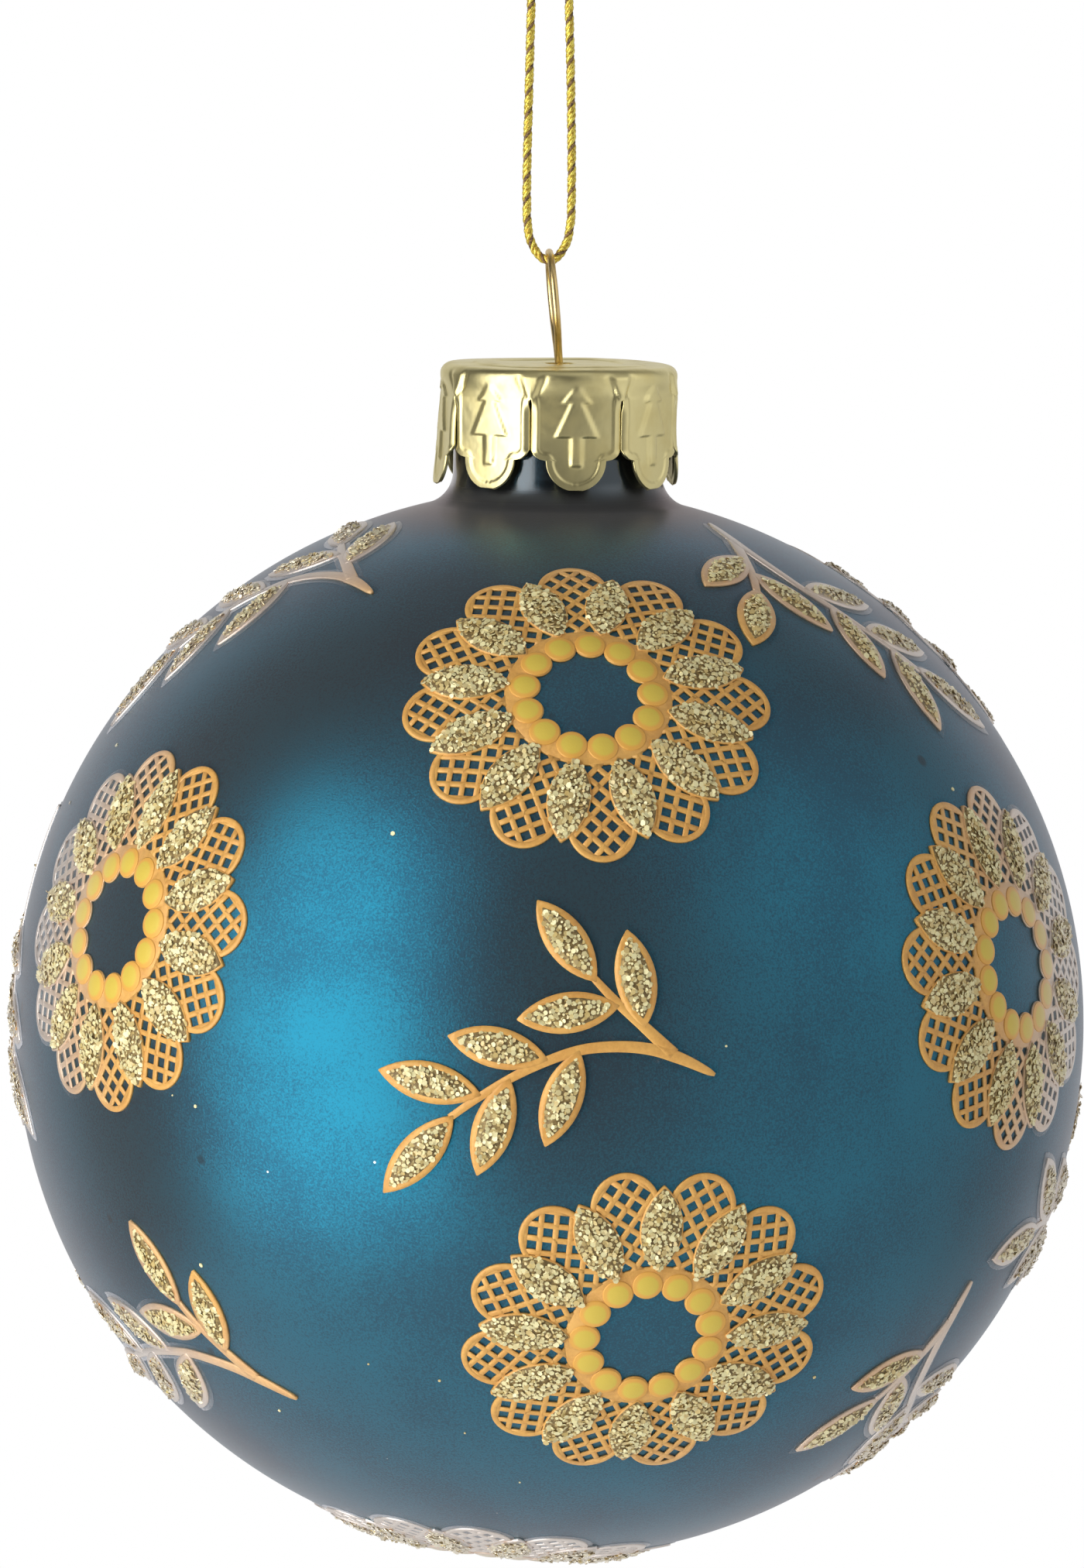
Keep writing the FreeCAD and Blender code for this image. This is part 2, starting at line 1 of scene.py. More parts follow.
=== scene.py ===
"""Hanging glass ball ornament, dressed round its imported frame.

A blown glass ball with a satin teal lacquer hangs from a pressed gold cap, a bronze wire and a twisted gold
cord. Lace rosettes with beads and glitter petals, and sprigs of glitter leaves, are laid on the glass.
Sizes are in metres, written as millimetres times MM. +Z is up and -Y faces the viewer.
"""

import json
import logging
import math
from collections.abc import Callable
from dataclasses import dataclass, field
from enum import Enum

import bpy
import numpy as np
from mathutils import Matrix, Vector


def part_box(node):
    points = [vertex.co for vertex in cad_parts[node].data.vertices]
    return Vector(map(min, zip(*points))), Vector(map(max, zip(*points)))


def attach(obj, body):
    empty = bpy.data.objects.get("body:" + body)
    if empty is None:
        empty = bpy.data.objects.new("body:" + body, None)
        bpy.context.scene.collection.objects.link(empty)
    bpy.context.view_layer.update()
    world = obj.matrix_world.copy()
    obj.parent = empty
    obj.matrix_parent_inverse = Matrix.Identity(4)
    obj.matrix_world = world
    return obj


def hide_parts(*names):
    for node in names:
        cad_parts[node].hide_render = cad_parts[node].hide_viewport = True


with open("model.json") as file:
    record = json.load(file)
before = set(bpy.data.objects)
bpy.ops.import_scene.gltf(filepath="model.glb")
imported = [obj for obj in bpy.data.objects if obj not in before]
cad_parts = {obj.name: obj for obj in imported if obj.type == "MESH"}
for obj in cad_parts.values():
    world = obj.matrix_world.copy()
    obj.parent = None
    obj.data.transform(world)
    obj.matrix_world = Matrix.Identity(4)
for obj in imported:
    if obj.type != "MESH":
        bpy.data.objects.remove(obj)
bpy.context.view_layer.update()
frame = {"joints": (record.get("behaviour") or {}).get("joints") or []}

MM = 0.001
FULL_TURN = 2 * math.pi
UP = np.array([0.0, 0.0, 1.0])
DEPTH = np.array([0.0, 1.0, 0.0])
BALL_CENTRE = (0.0, 0.0, -97.7 * MM)
FILM_TOP = 0.09 * MM
FILM_EDGE = 0.05 * MM
# Pale colour of the painted sheen that stands in for the clear film's reflection at low angles.
PAINTED_FILM_SHEEN = (0.88, 0.83, 0.80)
Array = np.ndarray
Colour = tuple[float, float, float]
Spot = tuple[float, float, float]

logging.basicConfig(level=logging.INFO, format="%(name)s: %(message)s")
LOG = logging.getLogger("ornament")


class Body(Enum):
    """The bodies that move on their own."""

    CORD_LOOP = "cord_loop"
    HANGER = "hanger"
    CAP = "cap"
    BALL = "ball"


class Slot(Enum):
    """The finishes that the record names."""

    LACQUER = "lacquered_glass"
    CAP_SHEET = "pressed_gold_sheet"
    WIRE = "hanger_wire"
    CORD = "metallic_cord"
    LACE = "gold_lace"
    BEADS = "gold_beads"
    GLITTER = "gold_glitter"
    FILM = "clear_film"


# ---------------------------------------------------------------- surfaces


@dataclass
class Shell:
    """Closed surfaces as arrays.

    Attributes:
        points: one row of x, y and z per point.
        faces: arrays of point numbers, one array per corner count, anticlockwise seen from outside.
        values: named numbers, one per point, that a finish may read.
    """

    points: Array
    faces: list[Array]
    values: dict[str, Array] = field(default_factory=dict)

    def moved(self, placing: Callable[[Array], Array]) -> "Shell":
        """The same surface with its points carried elsewhere.

        Args:
            placing: gives the new points for the old ones.

        Returns:
            The moved surface.
        """
        return Shell(placing(self.points), self.faces, self.values)


def joined(shells: list[Shell]) -> Shell:
    """All the surfaces as one, with the values that the first of them names.

    Args:
        shells: the surfaces, each with the same names in its values.

    Returns:
        One surface.
    """
    starts = np.cumsum([0] + [len(shell.points) for shell in shells[:-1]])
    faces = [face + start for shell, start in zip(shells, starts) for face in shell.faces]
    values = {name: np.concatenate([shell.values[name] for shell in shells]) for name in shells[0].values}
    return Shell(np.concatenate([shell.points for shell in shells]), faces, values)


def quads(numbers: Array, closed: bool = False) -> Array:
    """Four-cornered faces of a grid of point numbers: across a row, then up to the next row.

    Args:
        numbers: point numbers in rows and columns.
        closed: whether the last column joins the first.

    Returns:
        One row of four point numbers per face.
    """
    if closed:
        numbers = np.concatenate([numbers, numbers[:, :1]], axis=1)
    corners = [numbers[:-1, :-1], numbers[:-1, 1:], numbers[1:, 1:], numbers[1:, :-1]]
    return np.stack(corners, axis=-1).reshape(-1, 4)


def capped(numbers: Array) -> list[Array]:
    """Faces of a bar from its point numbers, one row per station, with both ends closed."""
    return [quads(numbers, closed=True), numbers[:1, ::-1], numbers[-1:]]


def about_z(turn: float) -> Array:
    """The matrix that turns points, one per row, about +Z by an angle in radians."""
    return np.array([[math.cos(turn), math.sin(turn), 0], [-math.sin(turn), math.cos(turn), 0], [0, 0, 1]])


def round_turn(count: int) -> Array:
    """Even angles round a full turn, from zero."""
    return np.linspace(0, FULL_TURN, count, endpoint=False)


def past_nearest(angle: Array, count: int) -> Array:
    """Each angle less the nearest of an even count of angles round the turn."""
    step = FULL_TURN / count
    return np.mod(angle + step / 2, step) - step / 2


def banded(angle: Array, radius: Array, height: Array) -> Shell:
    """A closed band round the upright axis: x = r cos a, y = r sin a, z = height.

    Args:
        angle: of each section, all round the turn.
        radius: one row per section, clockwise round it as seen along the turn.
        height: of each of the section's corners.

    Returns:
        The band.
    """
    cosine, sine = np.cos(angle)[:, None], np.sin(angle)[:, None]
    points = np.stack([radius * cosine, radius * sine, height + 0 * radius], axis=-1)
    numbers = np.arange(radius.size).reshape(radius.shape)
    return Shell(points.reshape(-1, 3), [quads(np.concatenate([numbers, numbers[:1]]), closed=True)])


def plates(centre: Array, first: Array, second: Array, radius: Array, low: Array, high: Array) -> Shell:
    """Six-sided plates: corner k = centre + r (cos 60k a + sin 60k b), at the low and at the high side.

    Args:
        centre: one row per plate.
        first: the direction a of each.
        second: the direction b of each, square to a.
        radius: of each.
        low: from the centre to the underside of each.
        high: from the centre to the top of each.

    Returns:
        The plates, twelve points each.
    """
    angle = (np.arange(6) * FULL_TURN / 6)[:, None]
    ring = first[:, None] * np.cos(angle) + second[:, None] * np.sin(angle)
    ring = centre[:, None] + ring * radius[:, None, None]
    points = np.concatenate([ring + low[:, None], ring + high[:, None]], axis=1).reshape(-1, 3)
    base = 12 * np.arange(len(centre))[:, None]
    corner = np.arange(6)
    after = (corner + 1) % 6
    sides = np.stack([corner, after, 6 + after, 6 + corner], axis=-1).reshape(1, -1) + base
    return Shell(points, [base + corner[::-1], base + 6 + corner, sides.reshape(-1, 4)])


def revolved(profile: Array, count: int) -> Shell:
    """A profile turned about the upright axis: x = r cos a, y = r sin a, z = height.

    Args:
        profile: radius and height per row, from the axis, anticlockwise round the solid, back to the axis.
        count: steps round the turn.

    Returns:
        The closed surface, with one point at each pole.
    """
    angle = round_turn(count)
    radius, height = profile[1:-1, :1], profile[1:-1, 1:]
    rings = np.stack([radius * np.cos(angle), radius * np.sin(angle), height + 0 * angle], axis=-1)
    points = np.concatenate([[[0, 0, profile[0, 1]]], rings.reshape(-1, 3), [[0, 0, profile[-1, 1]]]])
    numbers = 1 + np.arange(rings.shape[0] * count).reshape(-1, count)
    around = np.arange(count)
    after = (around + 1) % count
    last = np.full(count, len(points) - 1)
    first_fan = np.stack([0 * around, numbers[0][after], numbers[0]], axis=-1)
    last_fan = np.stack([numbers[-1], numbers[-1][after], last], axis=-1)
    return Shell(points, [quads(numbers, closed=True), first_fan, last_fan])


def unit(vectors: Array) -> Array:
    """The vectors at a length of one."""
    return vectors / np.linalg.norm(vectors, axis=-1, keepdims=True)


def across_path(path: Array, reference: Array) -> tuple[Array, Array]:
    """Two directions square to a path: the reference with its part along the path taken out, and the
    tangent's cross product with that.

    Args:
        path: points in order.
        reference: one direction, or one per point, nowhere along the path.

    Returns:
        The first and second direction at each point.
    """
    tangent = unit(np.gradient(path, axis=0))
    level = np.broadcast_to(reference, path.shape)
    first = unit(level - tangent * np.sum(level * tangent, axis=1, keepdims=True))
    return first, np.cross(tangent, first)


def swept(path: Array, reference: Array, section: Array) -> Shell:
    """A bar along a path: point = path + a * first + b * second for each a, b of the section.

    Args:
        path: points in order.
        reference: direction that the section's first axis keeps close to.
        section: a and b per corner, from the first axis towards the second, for all of the path or per point.

    Returns:
        The bar, closed at both ends.
    """
    first, second = across_path(path, reference)
    sections = np.broadcast_to(section, (len(path), *section.shape[-2:]))
    points = path[:, None] + sections[..., :1] * first[:, None] + sections[..., 1:] * second[:, None]
    corners = sections.shape[1]
    return Shell(points.reshape(-1, 3), capped(np.arange(len(path) * corners).reshape(-1, corners)))


def circle(radius: float, corners: int) -> Array:
    """A round section as a regular polygon."""
    angle = round_turn(corners)
    return radius * np.stack([np.cos(angle), np.sin(angle)], axis=-1)


def strip(path: Array, width: float | Array, height: float) -> Shell:
    """A low bar with bevelled sides, along a path on the flat.

    Args:
        path: x and y per row.
        width: one width, or one per point.
        height: how far the bar stands up.

    Returns:
        The bar, standing on the level z = 0.
    """
    outline = np.array([[1, -0.42], [1, 0.42], [0.75, 0.5], [0, 0.5], [0, -0.5], [0.75, -0.5]])
    widths = np.broadcast_to(np.asarray(width, float), len(path))[:, None]
    section = np.stack([outline[:, 0] * height + 0 * widths, outline[:, 1] * widths], axis=-1)
    flat_path = np.column_stack([path, np.zeros(len(path))])
    return swept(flat_path, UP, section)


def evenly(path: Array, step: float) -> Array:
    """The path with new points a step apart along it, both ends kept."""
    lengths = np.concatenate([[0], np.cumsum(np.linalg.norm(np.diff(path, axis=0), axis=1))])
    count = max(2, int(round(lengths[-1] / step)) + 1)
    places = np.linspace(0, lengths[-1], count)
    return np.stack([np.interp(places, lengths, column) for column in path.T], axis=-1)


def softened(points: Array, rounds: int = 4) -> Array:
    """The path with its corners cut: each round puts points at 1/4 and 3/4 of every run."""
    for _ in range(rounds):
        near = 0.75 * points[:-1] + 0.25 * points[1:]
        far = 0.25 * points[:-1] + 0.75 * points[1:]
        cut = np.stack([near, far], axis=1).reshape(-1, points.shape[1])
        points = np.concatenate([points[:1], cut, points[-1:]])
    return points


def smooth_step(value: Array) -> Array:
    """0 below 0, 1 above 1, and 3t^2 - 2t^3 between."""
    share = np.clip(value, 0, 1)
    return share * share * (3 - 2 * share)


def make_piece(name: str, shell: Shell, smooth: bool = True) -> bpy.types.Object:
    """A Blender object from a surface, at the origin.

    Args:
        name: the piece's name.
        shell: its surface, in place.
        smooth: whether its faces are shaded smoothly.

    Returns:
        The new object.
    """
    mesh = bpy.data.meshes.new(name)
    corners = np.concatenate([face.ravel() for face in shell.faces]).astype(np.int32)
    counts = np.concatenate([np.full(len(face), face.shape[1]) for face in shell.faces])
    starts = np.concatenate([[0], np.cumsum(counts)[:-1]]).astype(np.int32)
    mesh.vertices.add(len(shell.points))
    mesh.vertices.foreach_set("co", shell.points.astype(np.float32).ravel())
    mesh.loops.add(len(corners))
    mesh.loops.foreach_set("vertex_index", corners)
    mesh.polygons.add(len(counts))
    mesh.polygons.foreach_set("loop_start", starts)
    mesh.polygons.foreach_set("use_smooth", np.full(len(counts), smooth))
    for value_name, numbers in shell.values.items():
        layer = mesh.attributes.new(value_name, "FLOAT", "POINT")
        layer.data.foreach_set("value", numbers.astype(np.float32))
    mesh.update(calc_edges=True)
    mesh.validate()
    piece = bpy.data.objects.new(name, mesh)
    bpy.context.scene.collection.objects.link(piece)
    return piece


# ---------------------------------------------------------------- finishes


class Nodes:
    """A node tree and a short way to add and join its nodes."""

    def __init__(self, tree: bpy.types.NodeTree) -> None:
        """Takes the tree to work on."""
        self.tree = tree

    def put(self, socket: bpy.types.NodeSocket, value: object) -> None:
        """Joins a socket to an output, or sets it to a constant."""
        if isinstance(value, bpy.types.NodeSocket):
            self.tree.links.new(value, socket)
        else:
            socket.default_value = value

    def feed(self, node: bpy.types.Node, **inputs: object) -> bpy.types.Node:
        """Sets or joins a node's inputs.

        Args:
            node: the node to feed.
            inputs: constants or output sockets, by input name with spaces written as underscores.

        Returns:
            The same node.
        """
        for key, value in inputs.items():
            self.put(node.inputs[key.replace("_", " ")], value)
        return node

    def add(self, kind: str, **inputs: object) -> bpy.types.Node:
        """A new node, with its inputs given as for feed."""
        return self.feed(self.tree.nodes.new("ShaderNode" + kind), **inputs)

    def fill(self, node: bpy.types.Node, *values: object) -> bpy.types.Node:
        """Sets or joins a node's first inputs in order, and gives the node."""
        for socket, value in zip(node.inputs, values):
            self.put(socket, value)
        return node

    def calculate(self, operation: str, *terms: object) -> bpy.types.NodeSocket:
        """The result of a Math node on up to three terms."""
        node = self.add("Math")
        node.operation = operation
        return self.fill(node, *terms).outputs["Value"]

    def vectors(self, operation: str, first: object, second: object) -> bpy.types.Node:
        """A Vector Math node on two vectors."""
        node = self.add("VectorMath")
        node.operation = operation
        return self.fill(node, first, second)

    def shaders(self, share: object, first: bpy.types.Node, second: bpy.types.Node) -> bpy.types.NodeSocket:
        """A shader between two others: the first at share 0, the second at share 1."""
        return self.fill(self.add("MixShader"), share, first.outputs[0], second.outputs[0]).outputs["Shader"]

    def scaled(self, value: object, factor: float, plus: float = 0.0) -> bpy.types.NodeSocket:
        """The value times a factor, plus a constant."""
        return self.calculate("MULTIPLY_ADD", value, factor, plus)

    def mixture(self, first: object, share: float, second: object) -> bpy.types.NodeSocket:
        """The first value times its share, plus the second times the rest."""
        return self.calculate("MULTIPLY_ADD", second, 1 - share, self.scaled(first, share))

    def blend(self, share: object, first: object, second: object) -> bpy.types.NodeSocket:
        """A colour between two others: the first at share 0, the second at share 1."""
        node = self.add("Mix")
        node.data_type = "RGBA"
        colours = [(*item, 1.0) if isinstance(item, tuple) else item for item in (first, second)]
        for index, value in zip((0, 6, 7), (share, *colours)):
            self.put(node.inputs[index], value)
        return node.outputs[2]

    def place(self) -> bpy.types.NodeSocket:
        """The piece's own coordinates, in metres."""
        return self.add("TexCoord").outputs["Object"]

    def height(self) -> bpy.types.NodeSocket:
        """The piece's own Z coordinate, in metres."""
        return self.add("SeparateXYZ", Vector=self.place()).outputs["Z"]

    def named(self, value: str) -> bpy.types.NodeSocket:
        """A number that the surface carries at each point."""
        node = self.add("Attribute")
        node.attribute_name = value
        return node.outputs["Fac"]

    def noise(self, grain: float, detail: float = 2.0, roughness: float = 0.5) -> bpy.types.NodeSocket:
        """A cloudy pattern about 0.5.

        Args:
            grain: size of its lumps in metres.
            detail: how many finer layers it has.
            roughness: how strong those are.

        Returns:
            The pattern.
        """
        layers = {"Detail": detail, "Roughness": roughness}
        return self.add("TexNoise", Vector=self.place(), Scale=1 / grain, **layers).outputs["Fac"]

    def dots(self, spacing: float, radius: float, share: float) -> bpy.types.NodeSocket:
        """Scattered round dots: 1 inside a dot and 0 outside, with soft edges.

        Args:
            spacing: size of the cells that may each hold a dot, in metres.
            radius: the dots' radius in metres.
            share: share of the cells that hold one.

        Returns:
            The pattern.
        """
        cells = self.add("TexVoronoi", Vector=self.place(), Scale=1 / spacing)
        near = self.between(cells.outputs["Distance"], 1.3 * radius / spacing, 0.7 * radius / spacing)
        chance = self.add("SeparateColor", Color=cells.outputs["Color"]).outputs["Red"]
        return self.calculate("MULTIPLY", near, self.calculate("LESS_THAN", chance, share))

    def between(self, value: object, low: float, high: float) -> bpy.types.NodeSocket:
        """0 below low and 1 above high, with a smooth rise."""
        node = self.add("MapRange")
        node.interpolation_type = "SMOOTHSTEP"
        return self.feed(node, Value=value, From_Min=low, From_Max=high).outputs["Result"]


class Wiring(Nodes):
    """The nodes of one material, which ends in a Principled shader."""

    def __init__(self, name: str) -> None:
        """Starts the material."""
        self.material = bpy.data.materials.new(name)
        self.material.use_nodes = True
        super().__init__(self.material.node_tree)
        self.shader = self.tree.nodes["Principled BSDF"]

    def low_angle(self) -> bpy.types.NodeSocket:
        """One minus the cosine between the view and the ball's outward direction below the point."""
        outward = self.vectors("SUBTRACT", self.place(), BALL_CENTRE)
        turned = self.add("VectorTransform", Vector=outward.outputs["Vector"])
        turned.vector_type, turned.convert_from, turned.convert_to = "NORMAL", "OBJECT", "WORLD"
        return self.add("LayerWeight", Blend=0.5, Normal=turned.outputs["Vector"]).outputs["Facing"]

    def paint_film_sheen(self, colour: object, metallic: float, start: float, full: float, most: float) -> None:
        """Sets the colour under clear film, and paints the film's pale gloss over it as a painted sheen where
        it is seen at a low angle.

        Args:
            colour: the finish's own colour.
            metallic: how metallic that is.
            start: one minus the cosine of the viewing angle where the painted sheen begins.
            full: the same where it is strongest.
            most: its strongest share.
        """
        # Painted sheen: the base colour is blended towards a pale colour at low angles, and made less
        # metallic there.
        share = self.scaled(self.between(self.low_angle(), start, full), most)
        covered = self.scaled(share, 1 - metallic, metallic)
        self.feed(self.shader, Base_Color=self.blend(share, colour, PAINTED_FILM_SHEEN), Metallic=covered)

    def finish(self, **inputs: object) -> bpy.types.Material:
        """Feeds the Principled shader, as feed does, and gives the material."""
        self.feed(self.shader, **inputs)
        return self.material

    def bumps(self, value: bpy.types.NodeSocket, depth: float) -> None:
        """Lets a pattern stand up from the surface by a depth in metres."""
        bump = self.add("Bump", Height=value, Distance=depth, Strength=1.0)
        self.feed(self.shader, Normal=bump.outputs["Normal"])


@dataclass(frozen=True)
class SatinLacquer:
    """Metallic teal lacquer under a satin coat: fine grain, clouds, a few specks and a glossy neck in painted
    shade.
    """

    name: str = "satin_teal_lacquer"
    deep: Colour = (0.0, 0.072, 0.128)
    bright: Colour = (0.0, 0.148, 0.236)
    # Painted shade: the shoulder and neck colours darken the lacquer under the cap.
    shoulder: Colour = (0.016, 0.018, 0.022)
    neck: Colour = (0.016, 0.034, 0.046)
    speck: Colour = (0.70, 0.72, 0.70)
    pit: Colour = (0.0, 0.034, 0.056)
    grain: float = 0.15 * MM
    cloud: float = 11 * MM
    neck_bottom: float = -0.0585
    painted_shade_drop: float = 2.4 * MM
    gloss_drop: float = 0.3 * MM
    gloss_rise: float = 2.1 * MM

    def material(self) -> bpy.types.Material:
        """Grain and clouds blend two teals; sparse cells hold pale specks and dark blotches.

        The shoulder is darkened with painted shade a short way below the neck, and the neck is painted dark
        blue-black, also painted shade under the cap; the gloss grows from gloss_drop below its foot to
        gloss_rise above it.
        """
        wiring = Wiring(self.name)
        grain = wiring.noise(self.grain, 3.0, 0.65)
        mixed = wiring.mixture(grain, 0.65, wiring.noise(self.cloud, 2.0))
        teal = wiring.blend(wiring.between(mixed, 0.40, 0.60), self.deep, self.bright)
        pits = wiring.scaled(wiring.dots(spacing=6.5 * MM, radius=0.45 * MM, share=0.32), 0.75)
        specks = wiring.dots(spacing=4.2 * MM, radius=0.09 * MM, share=0.20)
        height, foot = wiring.height(), self.neck_bottom
        # The neck mask sets the neck's gloss and its painted shade; the next mask paints shade on the
        # shoulder below it.
        neck = wiring.between(height, foot - self.gloss_drop, foot + self.gloss_rise)
        shade = wiring.between(height, foot - self.painted_shade_drop, foot)
        colour = wiring.blend(specks, wiring.blend(pits, teal, self.pit), self.speck)
        colour = wiring.blend(neck, wiring.blend(shade, colour, self.shoulder), self.neck)
        wiring.bumps(grain, 0.018 * MM)
        return wiring.finish(
            Base_Color=colour,
            Metallic=0.96,
            Roughness=wiring.scaled(neck, -0.15, 0.31),
            Specular_Tint=(1.0, 0.88, 0.88, 1.0),
            Coat_Weight=1.0,
            Coat_Roughness=wiring.scaled(neck, -0.86, 0.96),
            Coat_IOR=1.72,
            Sheen_Weight=0.08,
            Sheen_Roughness=0.65,
        )


@dataclass(frozen=True)
class Metal:
    """Polished or drawn metal with slow dents, fine rubbing and duller patches.

    Attributes:
        dent: size of the slow dents, and dent_depth how deep they are.
    """

    name: str
    bright: Colour
    dull: Colour
    roughness: float
    dent: float
    dent_depth: float

    def material(self) -> bpy.types.Material:
        """Patches blend the two tones and change the gloss a little."""
        wiring = Wiring(self.name)
        patches = wiring.between(wiring.noise(self.dent * 1.7, 4.0, 0.6), 0.42, 0.75)
        colour = wiring.blend(patches, self.bright, self.dull)
        roughness = wiring.scaled(patches, 0.10, self.roughness)
        wiring.bumps(wiring.noise(self.dent, 2.5), self.dent_depth)
        return wiring.finish(Base_Color=colour, Metallic=1.0, Roughness=roughness)


@dataclass(frozen=True)
class Thread:
    """Metallic or plain thread of the cord, with painted glints and painted shade that change from stitch to
    stitch.
    """

    name: str
    bright: Colour
    dark: Colour
    metallic: float
    roughness: float

    def material(self) -> bpy.types.Material:
        """Fine noise paints glints and shade: it blends the bright colour with the dark one, painted shade in
        the folds, and cuts them into stitches.
        """
        wiring = Wiring(self.name)
        fold_bumps_and_painted_shade = wiring.noise(0.22 * MM, 2.0, 0.6)
        # Painted glints and shade: the noise sets bright and dark thread colour.
        colour = wiring.blend(wiring.between(fold_bumps_and_painted_shade, 0.36, 0.60), self.dark, self.bright)
        wiring.bumps(fold_bumps_and_painted_shade, 0.05 * MM)
        return wiring.finish(Base_Color=colour, Metallic=self.metallic, Roughness=self.roughness)


@dataclass(frozen=True)
class MatteGold:
    """Matte gold lace and print under clear film, with a painted sheen that pales it where it is seen at a
    low angle.
    """

    name: str = "matte_gold_lace"
    light: Colour = (0.90, 0.495, 0.125)
    shade: Colour = (0.78, 0.39, 0.090)

    def material(self) -> bpy.types.Material:
        """Fibre noise blends two golds; a painted sheen, drawn for the film's gloss, pales them at low
        angles.
        """
        wiring = Wiring(self.name)
        fibres = wiring.noise(0.30 * MM, 3.0, 0.6)
        mixed = wiring.mixture(fibres, 0.5, wiring.noise(2.4 * MM, 2.0))
        colour = wiring.blend(wiring.between(mixed, 0.36, 0.62), self.shade, self.light)
        # Painted sheen of the film at low angles.
        wiring.paint_film_sheen(colour, metallic=0.10, start=0.38, full=0.76, most=0.92)
        wiring.bumps(fibres, 0.02 * MM)
        return wiring.finish(Roughness=0.50, Coat_Weight=0.25, Coat_Roughness=0.35, Coat_IOR=1.5)


@dataclass(frozen=True)
class BeadGold:
    """Satin yellow gold on a bead's raised dot, with the lace's gold round its foot."""

    name: str = "bead_gold"
    foot: Colour = (0.90, 0.47, 0.085)
    dot: Colour = (0.82, 0.61, 0.090)

    def material(self) -> bpy.types.Material:
        """The surface's dot value blends foot and dot; slow noise mottles them; a painted sheen pales them at
        low angles.
        """
        wiring = Wiring(self.name)
        mottle = wiring.scaled(wiring.noise(0.5 * MM, 3.0), 0.24, -0.12)
        share = wiring.calculate("ADD", wiring.named("dot"), mottle)
        colour = wiring.blend(wiring.between(share, 0.10, 0.90), self.foot, self.dot)
        # Painted sheen of the film at low angles.
        wiring.paint_film_sheen(colour, metallic=0.08, start=0.42, full=0.88, most=0.75)
        wiring.bumps(wiring.noise(0.25 * MM, 2.0), 0.012 * MM)
        return wiring.finish(Roughness=0.48, Coat_Weight=0.20, Coat_Roughness=0.35, Coat_IOR=1.5)


@dataclass(frozen=True)
class Glitter:
    """Pale gold glitter flakes, each in its own tone."""

    name: str = "gold_glitter_flakes"
    pale: Colour = (1.0, 0.91, 0.50)
    deep: Colour = (0.76, 0.57, 0.22)

    def material(self) -> bpy.types.Material:
        """The flake's tone value blends two golds and sets its gloss; a painted sheen pales them at low
        angles.
        """
        wiring = Wiring(self.name)
        tone = wiring.named("tone")
        worn = wiring.calculate("ADD", tone, wiring.scaled(wiring.noise(0.3 * MM, 2.0), 0.4, -0.2))
        colour = wiring.blend(wiring.between(worn, 0.0, 0.75), self.deep, self.pale)
        roughness = wiring.scaled(tone, 0.18, 0.28)
        # Painted sheen of the film at low angles.
        wiring.paint_film_sheen(colour, metallic=0.12, start=0.50, full=0.90, most=0.72)
        return wiring.finish(Roughness=roughness, Coat_Weight=0.6, Coat_Roughness=0.18, Coat_IOR=1.6)


@dataclass(frozen=True)
class GlueBed:
    """Brown-gold glue that the flakes are set in."""

    name: str = "glitter_glue_bed"
    light: Colour = (0.45, 0.32, 0.12)
    dark: Colour = (0.20, 0.135, 0.050)

    def material(self) -> bpy.types.Material:
        """Coarse noise blends two browns and roughens the glue; a painted sheen pales it at low angles."""
        wiring = Wiring(self.name)
        lumps = wiring.noise(0.35 * MM, 3.0, 0.6)
        colour = wiring.blend(wiring.between(lumps, 0.40, 0.66), self.dark, self.light)
        # Painted sheen of the film at low angles.
        wiring.paint_film_sheen(colour, metallic=0.20, start=0.50, full=0.90, most=0.80)
        wiring.bumps(lumps, 0.06 * MM)
        return wiring.finish(Roughness=0.50)


@dataclass(frozen=True)
class ClearFilm:
    """Thin clear film that shows as a faint rim, and more where it is seen at a low angle, with a painted
    reflection there.
    """

    name: str = "clear_carrier_film"
    tint: Colour = (0.62, 0.61, 0.66)
    pale: Colour = (0.76, 0.76, 0.78)

    def material(self) -> bpy.types.Material:
        """Mostly see-through; a facing weight makes its pale colour denser at low angles, a painted
        reflection, with a fine haze.
        """
        wiring = Wiring(self.name)
        haze = wiring.scaled(wiring.between(wiring.noise(0.8 * MM, 3.0), 0.5, 0.8), 0.03)
        # Painted reflection: the pale film colour grows more opaque at low angles.
        painted_sheen_alpha = wiring.scaled(wiring.between(wiring.low_angle(), 0.50, 0.92), 0.66)
        colour = wiring.blend(wiring.noise(0.5 * MM, 2.0), self.tint, self.pale)
        return wiring.finish(Base_Color=colour, Roughness=0.30, Alpha=wiring.calculate("ADD", haze, painted_sheen_alpha))


